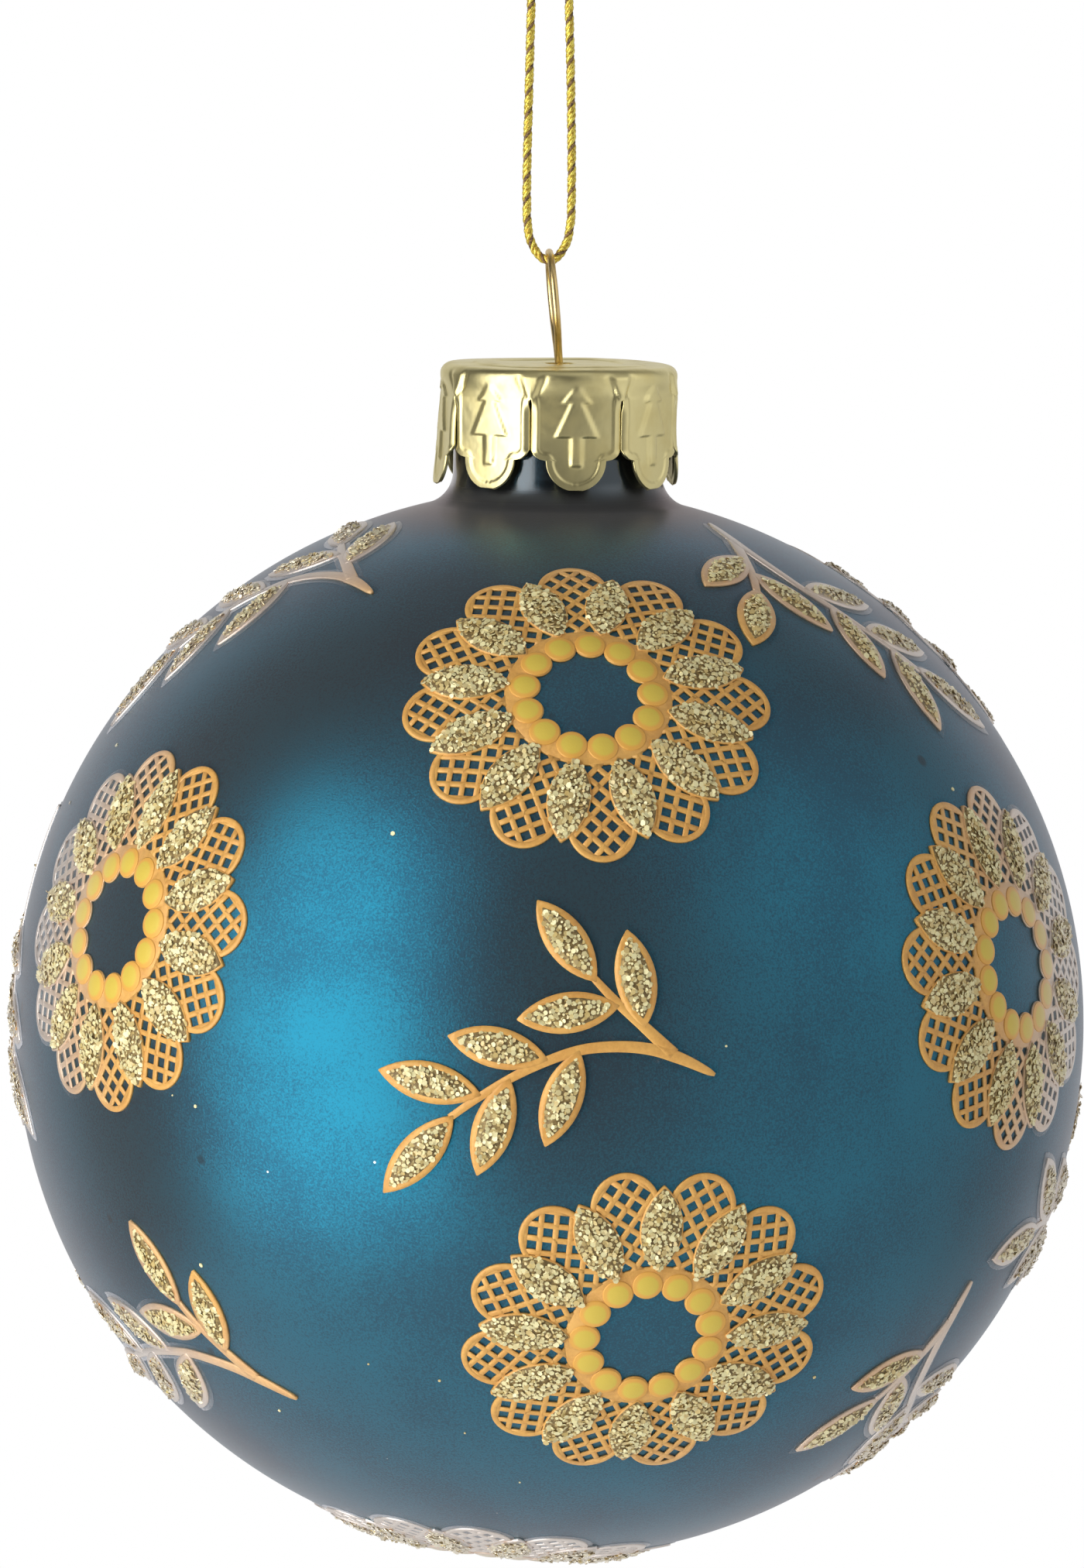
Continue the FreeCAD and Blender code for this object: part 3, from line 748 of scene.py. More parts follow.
@dataclass(frozen=True)
class StudioFloor:
    """Pale floor that fades into the white surroundings."""

    name: str = "pale_floor"
    colour: Colour = (0.80, 0.80, 0.80)
    grain_colour: Colour = (0.82, 0.82, 0.82)
    white: tuple = (1.0, 1.0, 1.0, 1.0)
    glow: float = 0.26
    fade_start: float = 0.16
    fade_end: float = 0.30

    def material(self) -> bpy.types.Material:
        """Near its middle a matte surface that takes shadows; further out it shows plain white."""
        wiring = Wiring(self.name)
        grain = wiring.between(wiring.noise(3 * MM, 2.0), 0.3, 0.7)
        spot = wiring.add("SeparateXYZ", Vector=wiring.place())
        x, y = spot.outputs["X"], spot.outputs["Y"]
        square = wiring.calculate("MULTIPLY_ADD", x, x, wiring.calculate("MULTIPLY", y, y))
        fade = wiring.between(wiring.calculate("SQRT", square), self.fade_start, self.fade_end)
        share = wiring.calculate("MULTIPLY", fade, wiring.add("LightPath").outputs["Is Camera Ray"])
        white = wiring.add("Emission", Color=self.white, Strength=1.0)
        wiring.feed(wiring.tree.nodes["Material Output"], Surface=wiring.shaders(share, wiring.shader, white))
        colour = wiring.blend(grain, self.colour, self.grain_colour)
        return wiring.finish(
            Base_Color=colour, Roughness=0.9, Emission_Color=self.white, Emission_Strength=self.glow
        )


@dataclass(frozen=True)
class Look:
    """A finish on one body.

    Attributes:
        body: the body that a piece in it moves with.
        slot: the record's finish; not used.
        material: its material.
    """

    body: Body
    slot: Slot
    material: bpy.types.Material

    def piece(self, name: str, shell: Shell, *nodes: str, smooth: bool = True) -> bpy.types.Object:
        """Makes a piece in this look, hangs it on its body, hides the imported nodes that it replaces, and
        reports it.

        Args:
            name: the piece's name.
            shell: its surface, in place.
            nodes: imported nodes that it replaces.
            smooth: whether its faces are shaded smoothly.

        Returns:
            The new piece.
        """
        piece = make_piece(name, shell, smooth)
        piece.data.materials.append(self.material)
        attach(piece, self.body.value)
        if nodes:
            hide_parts(*nodes)
        LOG.info("%s: %d faces", piece.name, len(piece.data.polygons))
        return piece


# ---------------------------------------------------------------- the ball and its ornament


@dataclass(frozen=True)
class Place:
    """Where an ornament lies on the ball, in degrees.

    Attributes:
        height: above the ball's equator.
        side: to the right of the front.
        turn: of the ornament, anticlockwise.
    """

    height: float
    side: float
    turn: float

    def axes(self) -> Array:
        """The ornament's own x, y and outward directions about the upright ball, one per row."""
        height, side, turn = np.radians((self.height, self.side, self.turn))
        level = math.cos(height)
        outward = np.array([level * math.sin(side), -level * math.cos(side), math.sin(height)])
        rightward = np.array([math.cos(side), math.sin(side), 0.0])
        upward = np.cross(outward, rightward)
        own_x = math.cos(turn) * rightward + math.sin(turn) * upward
        own_y = math.cos(turn) * upward - math.sin(turn) * rightward
        return np.array([own_x, own_y, outward])


@dataclass
class GlassBall:
    """Blown ball with an open neck: one even wall, hung with its axis a little off upright.

    Attributes:
        centre: of the ball.
        axis: from its bottom to its neck, a unit vector.
        neck_sink: how far below the sphere's own top the neck's foot is taken to lie.
    """

    centre: Array
    axis: Array
    radius: float = 40.0 * MM
    wall: float = 0.6 * MM
    neck_radius: float = 7.8 * MM
    neck_wall: float = 0.9 * MM
    neck_straight: float = 7.72 * MM
    neck_fillet: float = 2.5 * MM
    throat_fillet: float = 3.2 * MM
    neck_sink: float = 1.0 * MM
    rim_round: float = 0.2 * MM
    turns: int = 240
    rings: int = 150
    fillet_steps: int = 14

    def hung(self, points: Array) -> Array:
        """Points drawn about the upright ball, as they hang: p = centre + x side + y depth + z axis."""
        side = np.array([self.axis[2], 0.0, -self.axis[0]])
        return self.centre + points @ np.array([side, DEPTH, self.axis])

    def laid(self, place: Place, rise: float = 0.0) -> Callable[[Array], Array]:
        """How a flat ornament is wrapped over the glass: z = root((R + rise + h)^2 - x^2 - y^2).

        Args:
            place: where it lies.
            rise: how far above the glass its level zero is.

        Returns:
            The placing for its points x, y and h.
        """
        axes = place.axes()

        def wrap(flat: Array) -> Array:
            """Carries x, y and h onto the ball."""
            reach = self.radius + rise + flat[:, 2]
            height = np.sqrt(reach**2 - flat[:, 0] ** 2 - flat[:, 1] ** 2)
            return self.hung(np.column_stack([flat[:, :2], height]) @ axes)

        return wrap

    def fillet_height(self, sphere: float, tube: float, fillet: float) -> float:
        """Height of a fillet circle that touches both a sphere and a tube: root((R + f)^2 - (t + f)^2)."""
        return math.sqrt((sphere + fillet) ** 2 - (tube + fillet) ** 2)

    def half_section(self, sphere: float, tube: float, fillet: float) -> Array:
        """Radius and height up the sphere, from its bottom pole, and round the fillet to the tube."""
        middle = np.array([tube + fillet, self.fillet_height(sphere, tube, fillet)])
        touch = math.atan2(middle[1], middle[0])
        rise = np.linspace(-math.pi / 2, touch, self.rings)
        bend = np.linspace(math.pi + touch, math.pi, self.fillet_steps)[1:]
        on_sphere = sphere * np.column_stack([np.cos(rise), np.sin(rise)])
        on_sphere[0, 0] = 0.0
        on_fillet = middle + fillet * np.column_stack([np.cos(bend), np.sin(bend)])
        return np.concatenate([on_sphere, on_fillet])

    @property
    def neck_top(self) -> float:
        """Height of the neck's rim above the centre."""
        return self.fillet_height(self.radius, self.neck_radius, self.neck_fillet) + self.neck_straight

    def shell(self) -> Shell:
        """Outer wall up to the crowned rim, and inner wall back down."""
        outer = self.half_section(self.radius, self.neck_radius, self.neck_fillet)
        throat = self.neck_radius - self.neck_wall
        inner = self.half_section(self.radius - self.wall, throat, self.throat_fillet)
        lip = np.linspace(0, math.pi, 9)
        lip_radius = self.neck_radius - self.neck_wall / 2 + self.neck_wall / 2 * np.cos(lip)
        lip_height = self.neck_top - self.rim_round + self.rim_round * np.sin(lip)
        rim = np.column_stack([lip_radius, lip_height])
        return revolved(np.concatenate([outer, rim, inner[::-1]]), self.turns)

    def build(self) -> None:
        """Makes the lacquered ball."""
        finish = SatinLacquer(neck_bottom=float(self.centre[2]) + self.radius - self.neck_sink)
        look = Look(Body.BALL, Slot.LACQUER, finish.material())
        look.piece("lacquered_ball", self.shell().moved(self.hung), "glass_ball")


@dataclass(frozen=True)
class Oval:
    """A pointed leaf shape: two arcs that meet in two points."""

    start: tuple[float, float]
    end: tuple[float, float]
    width: float

    @property
    def frame(self) -> tuple[Array, Array, float]:
        """Its middle, its direction and half of its length."""
        start, end = np.array(self.start), np.array(self.end)
        return (start + end) / 2, unit(end - start), float(np.linalg.norm(end - start)) / 2

    @property
    def arc(self) -> float:
        """Radius of both arcs: (l^2 + w^2) / 2w for half the length l and half the width w."""
        half, width = self.frame[2], self.width / 2
        return (half**2 + width**2) / (2 * width)

    def grown(self, margin: float) -> "Oval":
        """The leaf with both arcs moved outwards by a margin, or inwards where it is negative."""
        middle, along, _ = self.frame
        reach = math.sqrt((self.arc + margin) ** 2 - (self.arc - self.width / 2) ** 2)
        ends = [tuple(middle + side * along * reach) for side in (-1, 1)]
        return Oval(ends[0], ends[1], self.width + 2 * margin)

    def half_width(self, distance: Array) -> Array:
        """Half of the width at a distance from the middle: root(a^2 - d^2) - (a - w) for arcs of radius a."""
        return np.sqrt(np.maximum(self.arc**2 - distance**2, 0)) - (self.arc - self.width / 2)

    def flat(self, local: Array) -> Array:
        """Points given along and across the leaf, on the ornament's own flat."""
        middle, along, _ = self.frame
        across = np.array([-along[1], along[0]])
        return middle + local[:, :1] * along + local[:, 1:2] * across

    def dome(self, edge: float, crown: float, bottom: float = 0.0, steps: int = 14, across: int = 7) -> Shell:
        """A closed cushion: h = edge + (crown - edge) (1 - v^2) (1 - u^4), with u along and v across.

        Args:
            edge: height of its rim.
            crown: height of its middle.
            bottom: height of its underside.
            steps: stations along it.
            across: points across its top.

        Returns:
            The cushion, with x, y and h.
        """
        half = self.frame[2]
        share = np.linspace(-0.985, 0.985, steps)
        side = np.linspace(-1, 1, across)
        distance = share * half
        widths = self.half_width(distance)
        top = edge + (crown - edge) * (1 - side**2) * (1 - share[:, None] ** 4)
        section = np.concatenate([top, np.full((steps, 2), bottom)], axis=1)
        offsets = np.concatenate([side, [1.0, -1.0]]) * widths[:, None]
        local = np.stack([distance[:, None] + 0 * offsets, offsets], axis=-1).reshape(-1, 2)
        points = np.column_stack([self.flat(local), section.ravel()])
        return Shell(points, capped(np.arange(len(points)).reshape(steps, -1)[:, ::-1]))

    def spots(self, spacing: float, rng: np.random.Generator) -> Array:
        """Places for flakes: rows of a shaken triangular grid, along and across, that lie inside.

        Args:
            spacing: between neighbouring places.
            rng: the source of the shaking.

        Returns:
            Share along, share across, x and y, one row per place.
        """
        half, width = self.frame[2], self.width / 2
        row_pitch = spacing * math.sqrt(3) / 2
        rows = np.arange(-width, width + row_pitch, row_pitch)
        columns = np.arange(-half, half + spacing, spacing)
        grid_y, grid_x = np.meshgrid(rows, columns, indexing="ij")
        grid_x = grid_x + (np.arange(len(rows)) % 2)[:, None] * spacing / 2
        local = np.stack([grid_x, grid_y], axis=-1).reshape(-1, 2)
        local = local + rng.normal(scale=0.22 * spacing, size=local.shape)
        limit = self.half_width(np.clip(local[:, 0], -half, half))
        kept = (np.abs(local[:, 1]) < limit) & (np.abs(local[:, 0]) < half)
        local, limit = local[kept], limit[kept]
        return np.column_stack([local[:, 0] / half, local[:, 1] / limit, self.flat(local)])


@dataclass(frozen=True)
class GlitterPad:
    """Glitter flakes set in a domed bed of glue on a leaf or petal."""

    edge: float
    crown: float
    spacing: float = 0.31 * MM
    smallest: float = 0.10 * MM
    largest: float = 0.25 * MM
    thickness: float = 0.05 * MM
    tilt: float = 0.34
    shake: float = 0.05 * MM

    def bed(self, oval: Oval, base: float) -> Shell:
        """The glue on a leaf whose own sheet is base high: a lower dome that starts inside the sheet."""
        return oval.dome(self.edge, 0.86 * self.crown, 0.8 * base)

    def lay(
        self,
        node: str,
        flakes: list[Shell],
        beds: list[Shell],
        laid: Callable[[Array], Array],
        looks: dict[str, Look],
    ) -> None:
        """Makes the flakes and the glue of one ornament.

        Args:
            node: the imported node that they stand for.
            flakes: the flakes of each leaf.
            beds: the glue of each.
            laid: wraps them over the glass.
            looks: the looks by name.
        """
        looks["glitter"].piece(node + "_flakes", joined(flakes).moved(laid), node, smooth=False)
        looks["glue"].piece(node + "_glue", joined(beds).moved(laid))

    def flakes(self, oval: Oval, rng: np.random.Generator) -> Shell:
        """Flakes on a dome: height = edge + (crown - edge) (1 - v^2) (1 - u^4), a little shaken and tilted.

        Args:
            oval: the outline that they fill.
            rng: the source of their places, tilts, sizes and tones.

        Returns:
            The flakes, with a tone from 0 to 1 on each.
        """
        spots = oval.spots(self.spacing, rng)
        count = len(spots)
        dome = (1 - spots[:, 1] ** 2) * (1 - spots[:, 0] ** 4)
        height = self.edge + (self.crown - self.edge) * dome + self.shake * rng.normal(size=count)
        centre = np.column_stack([spots[:, 2:], np.maximum(height, self.edge)])
        normal = unit(UP + self.tilt * rng.normal(size=(count, 3)))
        first = unit(np.cross(normal, rng.normal(size=(count, 3))))
        second = np.cross(normal, first)
        radius = self.smallest + (self.largest - self.smallest) * rng.random(count) ** 1.4
        half = normal * self.thickness / 2
        shell = plates(centre, first, second, radius, -half, half)
        shell.values["tone"] = np.repeat(rng.random(count), 12)
        return shell


@dataclass
class LaceRosette:
    """A lace flower: lattice lobes round a beaded ring, and a glitter petal over every joint of the lobes."""

    ball: GlassBall
    lobes: int = 12
    lobe_radius: float = 2.56 * MM
    lobe_ring: float = 10.92 * MM
    lobe_border: float = 0.41 * MM
    root_overlap: float = 0.6 * MM
    lattice_start: float = 5.9 * MM
    lattice_anchor: float = 7.06 * MM
    pitch: float = 1.08 * MM
    bar_width: float = 0.40 * MM
    bar_share: float = 0.92
    bar_step: float = 0.9 * MM
    lace_height: float = 0.18 * MM
    ring_radius: float = 4.72 * MM
    ring_outer: float = 6.12 * MM
    bevel: float = 0.08 * MM
    beads: int = 13
    bead_radius: float = 1.12 * MM
    bead_margin: float = 0.06 * MM
    bead_foot: float = 0.06 * MM
    dot_height: float = 0.15 * MM
    dot_radius: float = 0.80 * MM
    dot_blur: float = 0.50 * MM
    petal_root: float = 5.75 * MM
    petal_tip: float = 12.30 * MM
    petal_width: float = 3.20 * MM
    petal_height: float = 0.25 * MM
    petal_border: float = 0.09 * MM
    petal_turn: float = 15.5
    film_margin: float = 0.33 * MM

    def around(self, shells: list[Shell], count: int, first: float = 0.0) -> list[Shell]:
        """The surfaces repeated round the middle, each turned by an equal step."""
        copies = []
        for turn in np.radians(first + 360.0 / count * np.arange(count)):
            copies += [shell.moved(lambda points, turn=turn: points @ about_z(turn)) for shell in shells]
        return copies

    def in_lobe(self, points: Array) -> Array:
        """Which points lie in the lobe about the x axis: its wedge, past the ring, and its round end."""
        x, y = points[:, 0], np.abs(points[:, 1])
        wedge = y < x * math.tan(math.pi / self.lobes)
        inner = self.lobe_radius - self.lobe_border / 2
        round_end = np.hypot(np.maximum(x - self.lobe_ring, 0), y) < inner
        return wedge & round_end & (x > self.lattice_start)

    def lattice(self) -> list[Shell]:
        """Bars of one lobe at 45 degrees both ways: anchor + k pitch across + t along, kept inside."""
        bars = []
        trial = np.linspace(-9 * MM, 9 * MM, 500)[:, None]
        shortest = 15
        height = self.lace_height * self.bar_share
        anchor = np.array([self.lattice_anchor, 0.0])
        for slope in (-1, 1):
            along = unit(np.array([1.0, slope]))
            across = np.array([-along[1], along[0]])
            for step in np.arange(-7, 7) + 0.5:
                line = anchor + step * self.pitch * across + trial * along
                kept = line[self.in_lobe(line)]
                if len(kept) > shortest:
                    bars.append(strip(evenly(kept[[0, -1]], self.bar_step), self.bar_width, height))
        return bars

    def lobe_edge(self) -> Shell:
        """The raised edge round one lobe: straight, half a turn, and straight back."""
        radius = self.lobe_radius - self.lobe_border / 2
        turn = np.linspace(-math.pi / 2, math.pi / 2, 23)
        bend = np.column_stack([self.lobe_ring + radius * np.cos(turn), radius * np.sin(turn)])
        root = self.lobe_radius / math.tan(math.pi / self.lobes) - self.root_overlap
        path = np.concatenate([[[root, -radius]], bend, [[root, radius]]])
        return strip(path, self.lobe_border, self.lace_height)

    def ring(self) -> Shell:
        """The band that carries the beads: its inner edge follows the beads' circles, its outer is round."""
        angle = round_turn(18 * self.beads)
        nearest = past_nearest(angle, self.beads)
        sideways = self.ring_radius * np.sin(nearest)
        bead = self.bead_radius + self.bead_margin
        inner = self.ring_radius * np.cos(nearest) - np.sqrt(np.maximum(bead**2 - sideways**2, 0))
        outer = np.full(len(angle), self.ring_outer)
        radius = np.stack([inner, inner + self.bevel, outer - self.bevel, outer, outer, inner], axis=-1)
        return banded(angle, radius, np.array([0.6, 1.0, 1.0, 0.6, 0.0, 0.0]) * self.lace_height)

    def bead(self) -> Shell:
        """A flat bead: h = foot + dot height (1 - (r / R)^2), with a dot value that fades to its edge."""
        radius = np.concatenate([np.linspace(1, 0.72, 5), np.linspace(0.62, 0, 6)]) * self.bead_radius
        rise = self.bead_foot + self.dot_height * (1 - (radius / self.bead_radius) ** 2)
        profile = np.concatenate([[[0, 0], [self.bead_radius, 0]], np.column_stack([radius, rise])])
        shell = revolved(profile, 26)
        distance = np.hypot(shell.points[:, 0], shell.points[:, 1])
        shell.values["dot"] = smooth_step((self.dot_radius - distance) / self.dot_blur + 0.5)
        shift = np.array([self.ring_radius, 0.0, 0.9 * self.lace_height])
        return shell.moved(lambda points: points + shift)

    def film(self) -> Shell:
        """The clear carrier: a thin sheet whose outer edge follows the lobes at a margin."""
        angle = round_turn(20 * self.lobes)
        nearest = past_nearest(angle, self.lobes)
        lobe = self.lobe_radius + self.film_margin
        sideways = self.lobe_ring * np.sin(nearest)
        outer = self.lobe_ring * np.cos(nearest) + np.sqrt(np.maximum(lobe**2 - sideways**2, 0))
        inner = np.full(len(angle), self.ring_radius - self.bead_radius * 0.6)
        across = inner[:, None] + (outer - inner)[:, None] * np.linspace(0, 1, 9)
        radius = np.concatenate([across, outer[:, None], inner[:, None]], axis=1)
        return banded(angle, radius, np.array([FILM_TOP] * 8 + [FILM_EDGE, 0.0, 0.0]))

    def build(self, number: int, place: Place, looks: dict[str, Look]) -> None:
        """Makes one rosette.

        Args:
            number: which rosette it is, from 1.
            place: where it lies.
            looks: the looks by name.
        """
        rng = np.random.default_rng(100 + number)
        laid = self.ball.laid(place)
        petal = Oval((self.petal_root, 0.0), (self.petal_tip, 0.0), self.petal_width)
        border = petal.dome(self.petal_height, 1.06 * self.petal_height)
        lace = self.around(self.lattice() + [self.lobe_edge()], self.lobes)
        lace += self.around([border], self.lobes, self.petal_turn) + [self.ring()]
        node = f"lace_rosette_{number}"
        looks["lace"].piece(node + "_openwork", joined(lace).moved(laid), node)
        beads = joined(self.around([self.bead()], self.beads)).moved(laid)
        node = f"bead_ring_{number}"
        looks["bead"].piece(node + "_beads", beads, node)

        pad = GlitterPad(edge=1.05 * self.petal_height, crown=2.0 * self.petal_height)
        inside = petal.grown(-self.petal_border)
        flakes = []
        for turn in range(self.lobes):
            loose = pad.flakes(inside, rng)
            flakes += self.around([loose], 1, self.petal_turn + 360.0 / self.lobes * turn)
        beds = self.around([pad.bed(inside, self.petal_height)], self.lobes, self.petal_turn)
        pad.lay(f"glitter_petals_{number}", flakes, beds, laid, looks)
        looks["film"].piece(f"rosette_film_{number}", self.film().moved(laid))


@dataclass
class LeafSprig:
    """A sprig: printed stems and leaf edges, glitter on the leaves and clear film underneath."""

    ball: GlassBall
    main_stem: tuple = (
        (12.54, -2.01), (10.24, -0.86), (7.66, -0.05), (4.4, 0.0),
        (1.91, -0.48), (-1.53, -2.01), (-4.31, -3.73), (-6.51, -5.36),
    )
    side_stem: tuple = ((9.55, -0.55), (7.18, 1.63), (5.36, 3.16), (3.73, 4.88))
    leaves: tuple = (
        ((-6.22, -5.17), (-11.29, -11.01)),
        ((-4.21, -3.68), (-11.77, -2.01)),
        ((0.57, -1.05), (-6.79, 0.57)),
        ((-2.2, -2.39), (-4.5, -9.57)),
        ((2.78, -0.29), (0.38, -7.37)),
        ((5.65, 2.92), (-1.82, 1.82)),
        ((3.92, 4.59), (-0.48, 10.43)),
        ((7.46, 1.34), (6.03, 8.42)),
    )
    leaf_width: float = 2.97 * MM
    border: float = 0.44 * MM
    stem_width: float = 0.96 * MM
    stem_tip_width: float = 0.55 * MM
    point_length: float = 3.2 * MM
    print_height: float = 0.20 * MM
    film_margin: float = 0.40 * MM
    film_height: float = 0.08 * MM
    step: float = 0.4 * MM

    def stem(self, places: tuple, widen: float, height: float, pointed: bool) -> Shell:
        """A tapered ribbon along the places, with its corners softened.

        Args:
            places: its route, from the cut end.
            widen: added to its width.
            height: how far it stands up.
            pointed: whether its start narrows to a point.

        Returns:
            The ribbon.
        """
        path = evenly(softened(np.array(places) * MM, 3), self.step)
        width = np.linspace(self.stem_width, self.stem_tip_width, len(path))
        if pointed:
            share = np.clip(self.step * np.arange(len(path)) / self.point_length, 0, 1)
            width = width * (0.25 + 0.75 * np.sqrt(share))
        return strip(path, width + widen, height)

    def ovals(self) -> list[Oval]:
        """The leaves' outlines in metres."""
        scaled = np.array(self.leaves) * MM
        return [Oval(tuple(base), tuple(tip), self.leaf_width) for base, tip in scaled]

    def build(self, number: int, place: Place, looks: dict[str, Look]) -> None:
        """Makes one sprig.

        Args:
            number: which sprig it is, from 1.
            place: where it lies.
            looks: the looks by name.
        """
        rng = np.random.default_rng(500 + number)
        laid = self.ball.laid(place)
        routes = ((self.main_stem, True), (self.side_stem, False))
        stems = [self.stem(places, 0.0, self.print_height, pointed) for places, pointed in routes]
        edges = [oval.dome(self.print_height, 1.05 * self.print_height) for oval in self.ovals()]
        printed = joined(stems + edges).moved(laid)
        looks["lace"].piece(f"sprig_{number}_stems", printed, f"sprig_film_{number}")

        pad = GlitterPad(edge=1.05 * self.print_height, crown=2.4 * self.print_height)
        inside = [oval.grown(-self.border) for oval in self.ovals()]
        flakes = [pad.flakes(oval, rng) for oval in inside]
        beds = [pad.bed(oval, self.print_height) for oval in inside]
        pad.lay(f"glitter_leaves_{number}", flakes, beds, laid, looks)

        margin = self.film_margin
        film = [oval.grown(margin).dome(FILM_EDGE, FILM_TOP) for oval in self.ovals()]
        film += [self.stem(places, 2 * margin, self.film_height, pointed) for places, pointed in routes]
        looks["film"].piece(f"sprig_{number}_film", joined(film).moved(laid))


# ---------------------------------------------------------------- the cap, the wire and the cord


@dataclass
class PressedCap:
    """Pressed sheet cap: a plate with a ring, and a skirt slit into round-tipped tabs with a tree on each."""

    ball: GlassBall
    tabs: int = 8
    first_tab: float = 9.0
    skirt_radius: float = 8.85 * MM
    seat_gap: float = 0.1 * MM
    sheet: float = 0.35 * MM
    shown_sheet: float = 0.28 * MM
    edge_radius: float = 0.8 * MM
    flare: float = 0.2 * MM
    tip_gap: float = 1.1 * MM
    slit_drop: float = 2.2 * MM
    slit_width: float = 0.08 * MM
    tongue_width: float = 4.5 * MM
    shoulder_rise: float = 3.3 * MM
    hole_radius: float = 1.1 * MM
    ring_radius: float = 5.6 * MM
    ring_width: float = 1.8 * MM
    ring_height: float = 0.13 * MM
    relief: float = 0.17 * MM
    fold: float = 0.32 * MM
    fold_width: float = 0.60 * MM
    dart_width: float = 0.95 * MM
    pillow_height: float = 0.12 * MM
    columns: int = 48
    column_spread: float = 1.25
    lean_and_twist: tuple[float, float] = (0.10, 0.07)
    bent_tab: int = 6
    bent_lean: float = 0.35 * MM
    wave: float = 0.05 * MM
    flatness: float = 0.6
    flattening_drop: float = 1.8 * MM
    panel_margin: float = 0.42 * MM
    panel_depth: float = 0.09 * MM
    panel_soft: float = 0.22 * MM

    @property
    def top(self) -> float:
        """Height of the plate above the ball's centre."""
        return self.ball.neck_top + self.seat_gap + self.sheet

    @property
    def tip(self) -> float:
        """Height of the tips: their gap above the glass fillet below them."""
        ball = self.ball
        middle = ball.fillet_height(ball.radius, ball.neck_radius, ball.neck_fillet)
        aside = ball.neck_radius + ball.neck_fillet - (self.skirt_radius - self.sheet + self.flare)
        return middle - math.sqrt(ball.neck_fillet**2 - aside**2) + self.tip_gap

    def tab_width(self, height: Array) -> Array:
        """Half of a tab's width at a height: the slit down to the shoulder, an arc, then the round tip."""
        half_pitch = self.skirt_radius * math.sin(math.pi / self.tabs)
        half_tongue = self.tongue_width / 2
        above_tip = height - self.tip
        slit = self.slit_width / 2 * smooth_step((self.top - self.slit_drop - height) / (0.4 * MM))
        run = np.clip((self.shoulder_rise - above_tip) / (self.shoulder_rise - half_tongue), 0, 1)
        shoulder = half_pitch - (half_pitch - half_tongue) * (1 - np.sqrt(1 - run**2))
        below = np.clip(half_tongue - above_tip, 0, half_tongue)
        tip = np.sqrt(half_tongue**2 - below**2)
        return np.where(above_tip < half_tongue, tip, np.minimum(shoulder, half_pitch - slit))

    def tab_heights(self) -> Array:
        """Rows of the tabs: even turns round the tip, then even steps up to the slit's top."""
        half_tongue = self.tongue_width / 2
        turn = np.linspace(math.radians(13), math.pi / 2, 22)
        round_tip = self.tip + half_tongue * (1 - np.cos(turn))
        shoulder = self.tip + np.linspace(half_tongue, self.shoulder_rise, 12)[1:]
        upper = np.linspace(self.tip + self.shoulder_rise, self.top - self.slit_drop, 34)[1:]
        return np.concatenate([round_tip, shoulder, upper])

    def crown(self) -> Array:
        """Radius and height from the slit's top up the skirt, round the edge and over the plate."""
        bend = self.top - self.edge_radius
        upper = np.linspace(self.top - self.slit_drop, bend, 9)[1:]
        turn = np.linspace(0, math.pi / 2, 9)[1:]
        middle = self.skirt_radius - self.edge_radius
        ring = self.ring_radius + self.ring_width / 2 * np.cos(np.linspace(0, math.pi, 9))
        rise = self.ring_height * np.sin(np.linspace(0, math.pi, 9))
        plate = np.linspace(self.ring_radius - self.ring_width / 2, self.hole_radius, 9)[1:]
        return np.concatenate([
            np.column_stack([np.full(len(upper), self.skirt_radius), upper]),
            np.column_stack([middle + self.edge_radius * np.sin(math.pi / 2 - turn),
                             bend + self.edge_radius * np.sin(turn)]),
            np.column_stack([ring, self.top + rise]),
            np.column_stack([plate, np.full(len(plate), self.top)]),
        ])

    def flattening(self, height: Array) -> Array:
        """How flat the skirt is at a height: 0 at the plate's round edge, 1 on the tabs."""
        return smooth_step((self.top - self.edge_radius - height) / self.flattening_drop)

    def tree(self, across: Array, drop: Array) -> Array:
        """Height of the pressed fir tree, from 0 to 1: two triangular tiers and a trunk.

        Args:
            across: distance to the side of the tab's middle.
            drop: distance below the plate.

        Returns:
            The share of the relief at each point.
        """
        side = np.abs(across)
        start, tier_end, skirt_end, trunk_end = np.array([1.05, 2.5, 5.0, 7.3]) * MM
        tier = (drop - start) / (tier_end - start) * 1.1 * MM
        skirt = 0.45 * MM + (drop - tier_end) / (skirt_end - tier_end) * 1.15 * MM
        trunk = 0.42 * MM
        half = np.where(drop < tier_end, tier, np.where(drop < skirt_end, skirt, trunk))
        soft = 0.30 * MM
        inside = smooth_step((half - side) / soft + 0.5)
        return inside * smooth_step((drop - start) / soft) * smooth_step((trunk_end - drop) / soft)

    def edge_distance(self, across: Array, height: Array) -> Array:
        """Distance from points of a tab to its outline below the slit's top."""
        rows = self.tab_heights()
        width = self.tab_width(rows)
        sides = [np.column_stack([side * width, rows]) for side in (-1, 1)]
        outline = np.concatenate([*sides, [[0.0, self.tip]]])
        spots = np.stack([across, height], axis=-1)[..., None, :]
        return np.linalg.norm(spots - outline, axis=-1).min(axis=-1)

